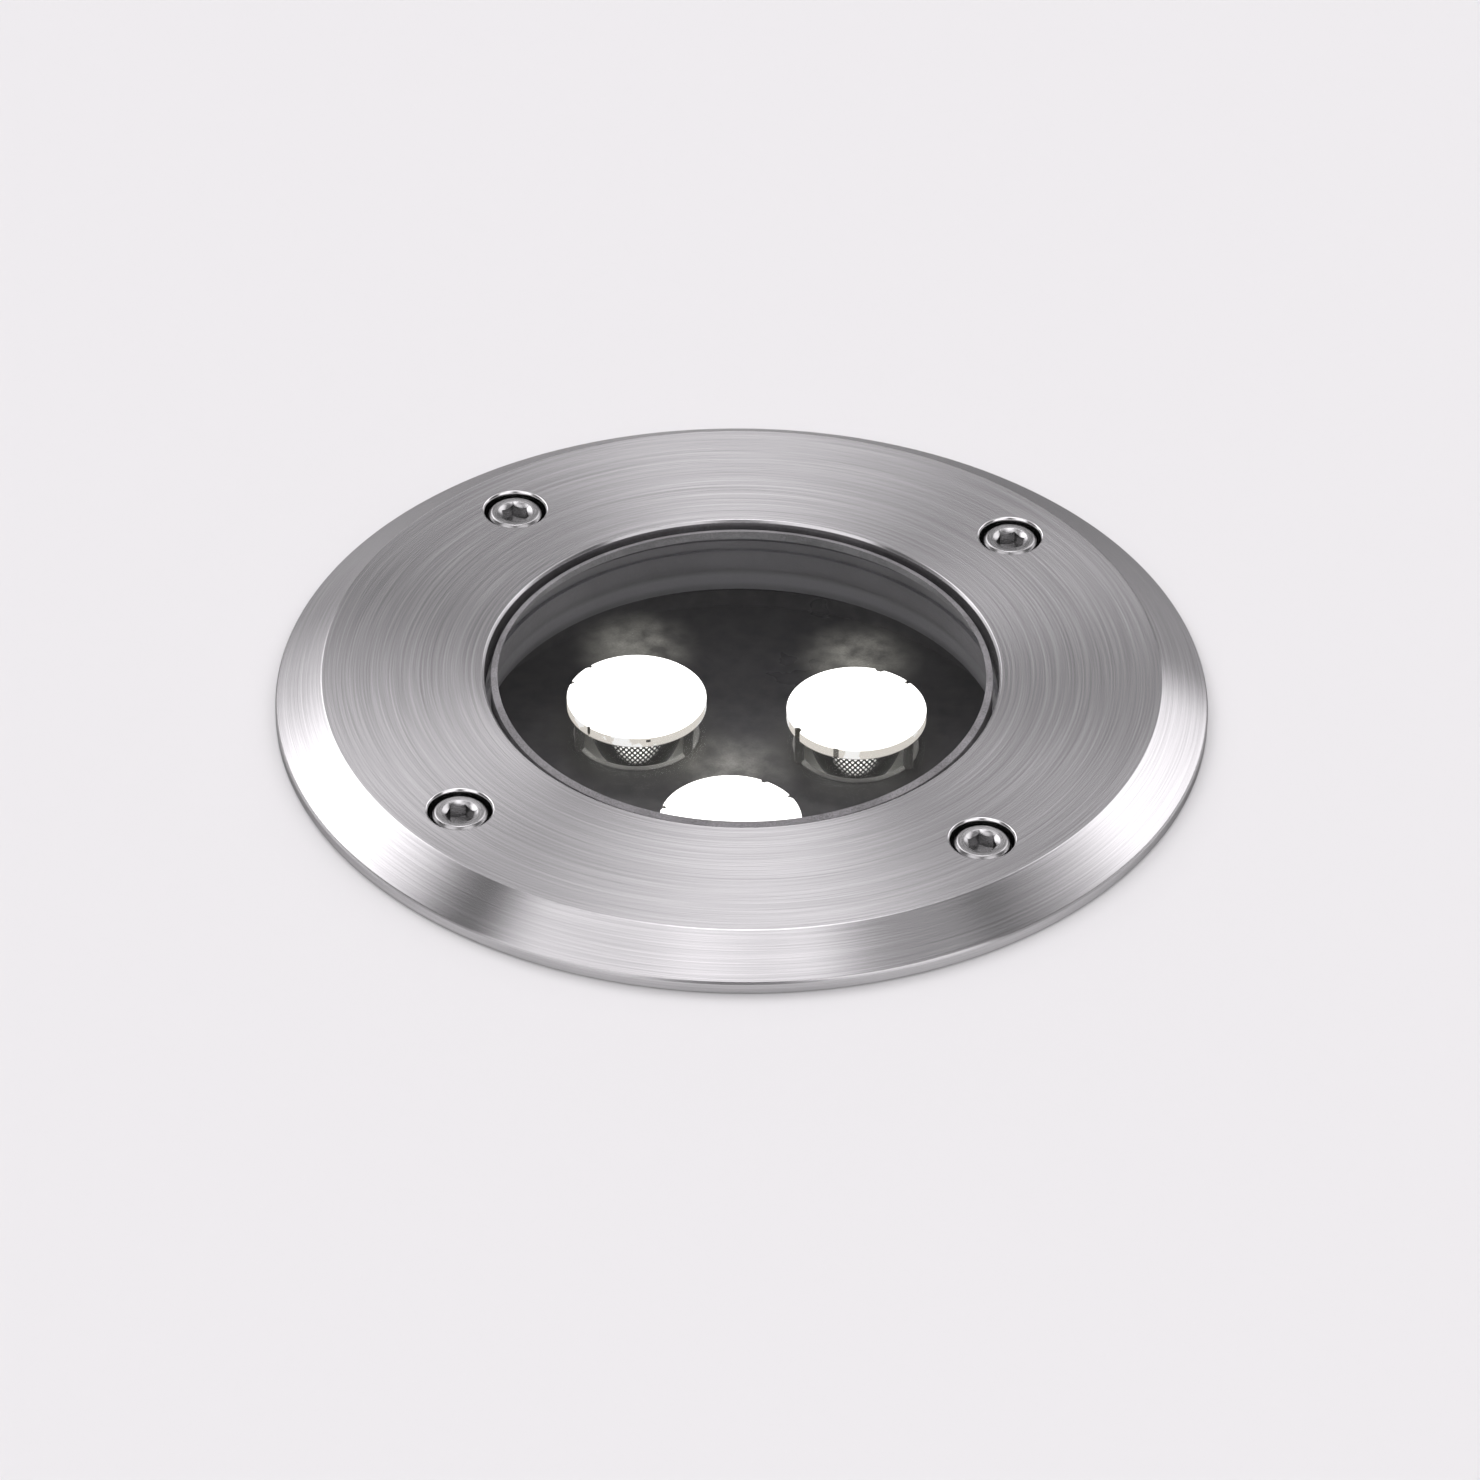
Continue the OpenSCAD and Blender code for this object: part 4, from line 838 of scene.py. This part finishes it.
# %% Metal finishes
def metal(name, dark, light, roughness, length=0.006, pitch=0.0003):
    """A machined metal: two tones and two roughnesses mixed by the turning marks."""
    material, tree, shader = begin(name, Metallic=1.0)
    marks = use(tree, TURNING, Position=position(tree), Length=length, Pitch=pitch)
    mixed = weighed(tree, marks["Bands"], 0.6, marks["Cloud"], 0.4)
    feed(tree, shader, Base_Color=blended(tree, mixed, (*dark, 1), (*light, 1)),
         Roughness=stretched(tree, mixed, *roughness))
    raise_bump(tree, shader, marks["Lines"], depth=0.000006, strength=0.5)
    return material


SMALL_STEEL = metal("small screw steel", (0.36, 0.36, 0.36), (0.52, 0.515, 0.515), (0.25, 0.38),
                    0.004, 0.0002)
SPRING_STEEL = metal("dark spring steel", (0.24, 0.24, 0.25), (0.36, 0.36, 0.38), (0.3, 0.42))
ALUMINIUM = metal("turned aluminium", (0.62, 0.63, 0.65), (0.78, 0.79, 0.8), (0.28, 0.42), 0.01, 0.00035)
BRASS = metal("turned brass", (0.56, 0.4, 0.16), (0.74, 0.56, 0.26), (0.22, 0.36), 0.004, 0.0002)
NICKEL = metal("nickel plate", (0.38, 0.365, 0.335), (0.5, 0.48, 0.45), (0.16, 0.26), pitch=0.0004)
print("materials so far", len(bpy.data.materials))

# %% [markdown]
# Driver parts
#
# Three finishes need a pattern of their own. The green board shows pale copper tracks under its
# mask, which a lattice of straight cell borders gives. The choke is wound with wire, so its
# ring is ribbed by angle. The capacitors wear a shrunk sleeve with a pale stripe down one side.

# %% Board, choke and capacitors
TRACKS = {"Scale": 300.0, "Randomness": 0.75}
DRIVER_BOARD, tree, shader = begin("green solder mask", Roughness=0.35)
where = position(tree)
second, nearest = (
    add(tree, "ShaderNodeTexVoronoi", {"Vector": where, **TRACKS}, distance="CHEBYCHEV", feature=feature)
    for feature in ("F2", "F1"))
gap = sums(tree, "SUBTRACT", second.outputs["Distance"], nearest.outputs["Distance"])
border = between(tree, gap, 0.0, 0.12)
feed(tree, shader, Base_Color=blended(tree, border, (0.12, 0.34, 0.13, 1), (0.02, 0.13, 0.05, 1)))
raise_bump(tree, shader, border, depth=0.00003, strength=0.4)

CHOKE_X, CHOKE_Y, HALF_TURNS = -0.0144, 0.0096, 27.0
WINDING, tree, shader = begin("enamelled copper wire", Metallic=0.9, Roughness=0.3)
local = vectors(tree, "SUBTRACT", position(tree), (CHOKE_X, CHOKE_Y, 0))[0]
x, y = split(tree, local)[:2]
turn = times(tree, sums(tree, "ARCTAN2", y, x), HALF_TURNS)
wire = sums(tree, "ABSOLUTE", sums(tree, "SINE", turn))
feed(tree, shader, Base_Color=blended(tree, wire, (0.16, 0.05, 0.02, 1), (0.72, 0.3, 0.12, 1)))
raise_bump(tree, shader, wire, depth=0.0004, strength=0.8)

STRIPE_FROM, STRIPE_ABOVE = (0.0200, 0.0202), (-0.0632, -0.0630)
SLEEVE, tree, shader = begin("shrunk blue sleeve", Roughness=0.3)
axes = split(tree, position(tree))
stripe = times(tree, between(tree, axes[0], *STRIPE_FROM), between(tree, axes[2], *STRIPE_ABOVE))
masks = use(tree, GRAIN, Size=0.0004, Patch=0.006)
blue = blended(tree, masks["Patches"], (0.015, 0.025, 0.12, 1), (0.03, 0.045, 0.18, 1))
feed(tree, shader, Base_Color=blended(tree, stripe, blue, (0.5, 0.52, 0.56, 1)))
raise_bump(tree, shader, masks["Grain"], depth=0.00001, strength=0.5)

# %% [markdown]
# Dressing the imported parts
#
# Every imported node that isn't replaced wears its finish in its own material slot. A table of
# finish to nodes keeps this short, and a count at the end shows that no node was forgotten.

# %% Assign the finishes
smoothed("housing", CASTING, "housing")
smoothed("optics_plate", PLATE, "housing", BEADS)
for index in range(LENS_COUNT):
    mesh = lens_mesh(index)
    place(mesh.name, mesh, [LENSES[index]], "housing", f"lens_{index + 1}")

dressed = {
    RUBBER: ["washer_1", "washer_2", "washer_3", "washer_4", "lead_grommet", "cover_seal",
             "gland_seal", "gland_insert"],
    SILICONE: ["upper_gasket", "lower_gasket"],
    COAT: ["rear_cover"], BRASS: ["thread_inserts", "driver_posts"], PAD: ["thermal_pad"],
    PHOSPHOR: ["emitter_1", "emitter_2", "emitter_3"], WHITE_BOARD: ["emitter_board"],
    ALUMINIUM: ["heat_spreader"], SPRING_STEEL: ["keeper_ring"], RED: ["lead_red"],
    BLACK: ["lead_black"], DRIVER_BOARD: ["driver_board"], SLEEVE: ["capacitors"],
    WINDING: ["choke"], CHIP: ["driver_chips"], TERMINAL: ["terminal_block"], NYLON: ["gland_claw"],
    SMALL_STEEL: ["plate_screws", "driver_screws", "terminal_screws", "cover_screws"],
    NICKEL: ["gland_body", "gland_locknut", "gland_nut"],
}
for material, names in dressed.items():
    for name in names:
        nodes[name].data.materials.clear()
        nodes[name].data.materials.append(material)
bare = [name for name, node in nodes.items()
        if not node.hide_render and name not in sum(dressed.values(), [])]
print("dressed", sum(map(len, dressed.values())), "nodes; bare", bare)

# %% [markdown]
# Floor
#
# The floor is a pale sheet with a round hole for the light and a short sleeve in the hole. It
# isn't part of the light. It is seen only from above: from below it turns transparent, so that
# low views show the body under it. A tenth of its brightness is its own, which keeps the tone
# even, and the rest takes the ring's soft shadow.

# %% Floor sheet
FLOOR_TONE = (0.802, 0.80, 0.802, 1)
OWN_SHARE = 0.1
FLOOR = bpy.data.materials.new("pale floor")
FLOOR.use_nodes = True
tree = FLOOR.node_tree
tree.nodes.remove(tree.nodes["Principled BSDF"])
matt = add(tree, "ShaderNodeBsdfDiffuse", {0: FLOOR_TONE})
own = add(tree, "ShaderNodeEmission", {0: FLOOR_TONE, 1: 1.0})
paths = add(tree, "ShaderNodeLightPath").outputs
seen = sums(tree, "MINIMUM", 1.0, sums(tree, "ADD", paths["Is Camera Ray"], sums(
    tree, "ADD", paths["Is Glossy Ray"], paths["Is Transmission Ray"])))
share = times(tree, seen, OWN_SHARE)
lit = add(tree, "ShaderNodeMixShader", {0: share, 1: matt.outputs[0], 2: own.outputs[0]})
below = add(tree, "ShaderNodeNewGeometry").outputs["Backfacing"]
clear = add(tree, "ShaderNodeBsdfTransparent")
whole = add(tree, "ShaderNodeMixShader", {0: below, 1: lit.outputs[0], 2: clear.outputs[0]})
tree.links.new(whole.outputs[0], tree.nodes["Material Output"].inputs["Surface"])

HOLE_R, HOLE_EASE, SLEEVE_LOW, FLOOR_R = 64.4, 0.3, -9.0, 460
edge = [(HOLE_R, SLEEVE_LOW), (HOLE_R, -HOLE_EASE), (HOLE_R + 0.05, -0.05), (HOLE_R + HOLE_EASE, 0.0),
        (75, 0.0), (120, 0.0), (FLOOR_R, 0.0)]
points, faces = quads(turned(edge))
mesh = bpy.data.meshes.new("floor_sheet")
mesh.from_pydata((points * METRES).tolist(), [], faces[:, ::-1].tolist())
mesh.materials.append(FLOOR)
floor = bpy.data.objects.new("floor_sheet", mesh)
scene.collection.objects.link(floor)
print("floor faces up:", mesh.polygons[-1].normal.z > 0)

# %% [markdown]
# Studio light
#
# A brushed ring shows its studio: its bright sectors are soft boxes, and its dark ones the gaps
# between them. Lights far away compared with the ring's size look the same from all of it, so
# they are painted on the world. A soft box is a flat panel seen in one direction. Where a ray
# meets the panel's plane, its two distances from the middle are compared with the panel's half
# width and half height, as seen from one metre away, and the panel fades out over a narrow edge.

# %% Shared group: soft box
SOFT_BOX, given, out = new_group("soft box", {
    "Ray": None, "Middle": None, "Side": None, "Up": None, "Half Width": 0.3, "Half Height": 0.3}, ["Glow"])


def dot(tree, first, second):
    """The dot product of two directions."""
    return vectors(tree, "DOT_PRODUCT", first, second)["Value"]


LEAST_AHEAD, WELL_AHEAD, SOFT_EDGE = 0.05, 0.12, 0.1
ahead = sums(SOFT_BOX, "MAXIMUM", dot(SOFT_BOX, given["Ray"], given["Middle"]), LEAST_AHEAD)
glow = between(SOFT_BOX, ahead, LEAST_AHEAD, WELL_AHEAD)
for direction, half in (("Side", "Half Width"), ("Up", "Half Height")):
    offset = sums(SOFT_BOX, "ABSOLUTE", dot(SOFT_BOX, given["Ray"], given[direction]))
    beyond = sums(SOFT_BOX, "SUBTRACT", sums(SOFT_BOX, "DIVIDE", offset, ahead), given[half])
    glow = times(SOFT_BOX, glow, between(SOFT_BOX, beyond, SOFT_EDGE, -SOFT_EDGE, smooth=True))
SOFT_BOX.links.new(glow, out["Glow"])

# %% [markdown]
# The studio has a pale band along the horizon and a dark upper room, with these boxes in it: a
# long one overhead, a large one behind on each side, a small one high on the left, a small low
# one behind, and two weaker ones in front. Directions are degrees round the light from the
# camera's right, and degrees above the floor.

# %% World
PALE = (0.871, 0.847, 0.871, 1)
SURROUND = 1.0
ROOM = 0.15
BAND_TOP, ROOM_FROM = 0.04, 0.30
# Each soft box: degrees round, degrees up, roll, half width, half height, strength
BOXES = [
    (85, 72, 10, 0.15, 0.50, 3.5),
    (132, 38, 15, 0.40, 0.30, 3.3),
    (45, 38, -25, 0.35, 0.35, 2.3),
    (205, 72, 40, 0.25, 0.15, 1.8),
    (100, 5, -55, 0.15, 0.15, 1.7),
    (230, 38, 0, 0.35, 0.35, 1.6),
    (310, 38, 0, 0.35, 0.35, 1.6),
]
world = bpy.data.worlds.new("studio")
world.use_nodes = True
scene.world = world
tree = world.node_tree
ray = add(tree, "ShaderNodeTexCoord").outputs["Generated"]
height = split(tree, ray)[2]
total = between(tree, height, BAND_TOP, ROOM_FROM, SURROUND, ROOM, smooth=True)
for azimuth, up, roll, half_width, half_height, strength in BOXES:
    facing = Matrix.Rotation(TURN + math.radians(azimuth), 3, "Z")
    facing = facing @ Matrix.Rotation(-math.radians(up), 3, "Y")
    panel = facing @ Matrix.Rotation(math.radians(roll), 3, "X")
    box = use(tree, SOFT_BOX, Ray=ray, Middle=panel.col[0], Side=panel.col[1], Up=panel.col[2],
              Half_Width=half_width, Half_Height=half_height)
    total = sums(tree, "ADD", total, times(tree, box["Glow"], strength))
background = tree.nodes["Background"]
background.inputs["Color"].default_value = PALE
tree.links.new(total, background.inputs["Strength"])
scene.view_settings.view_transform = "Standard"
print("soft boxes", len(BOXES))
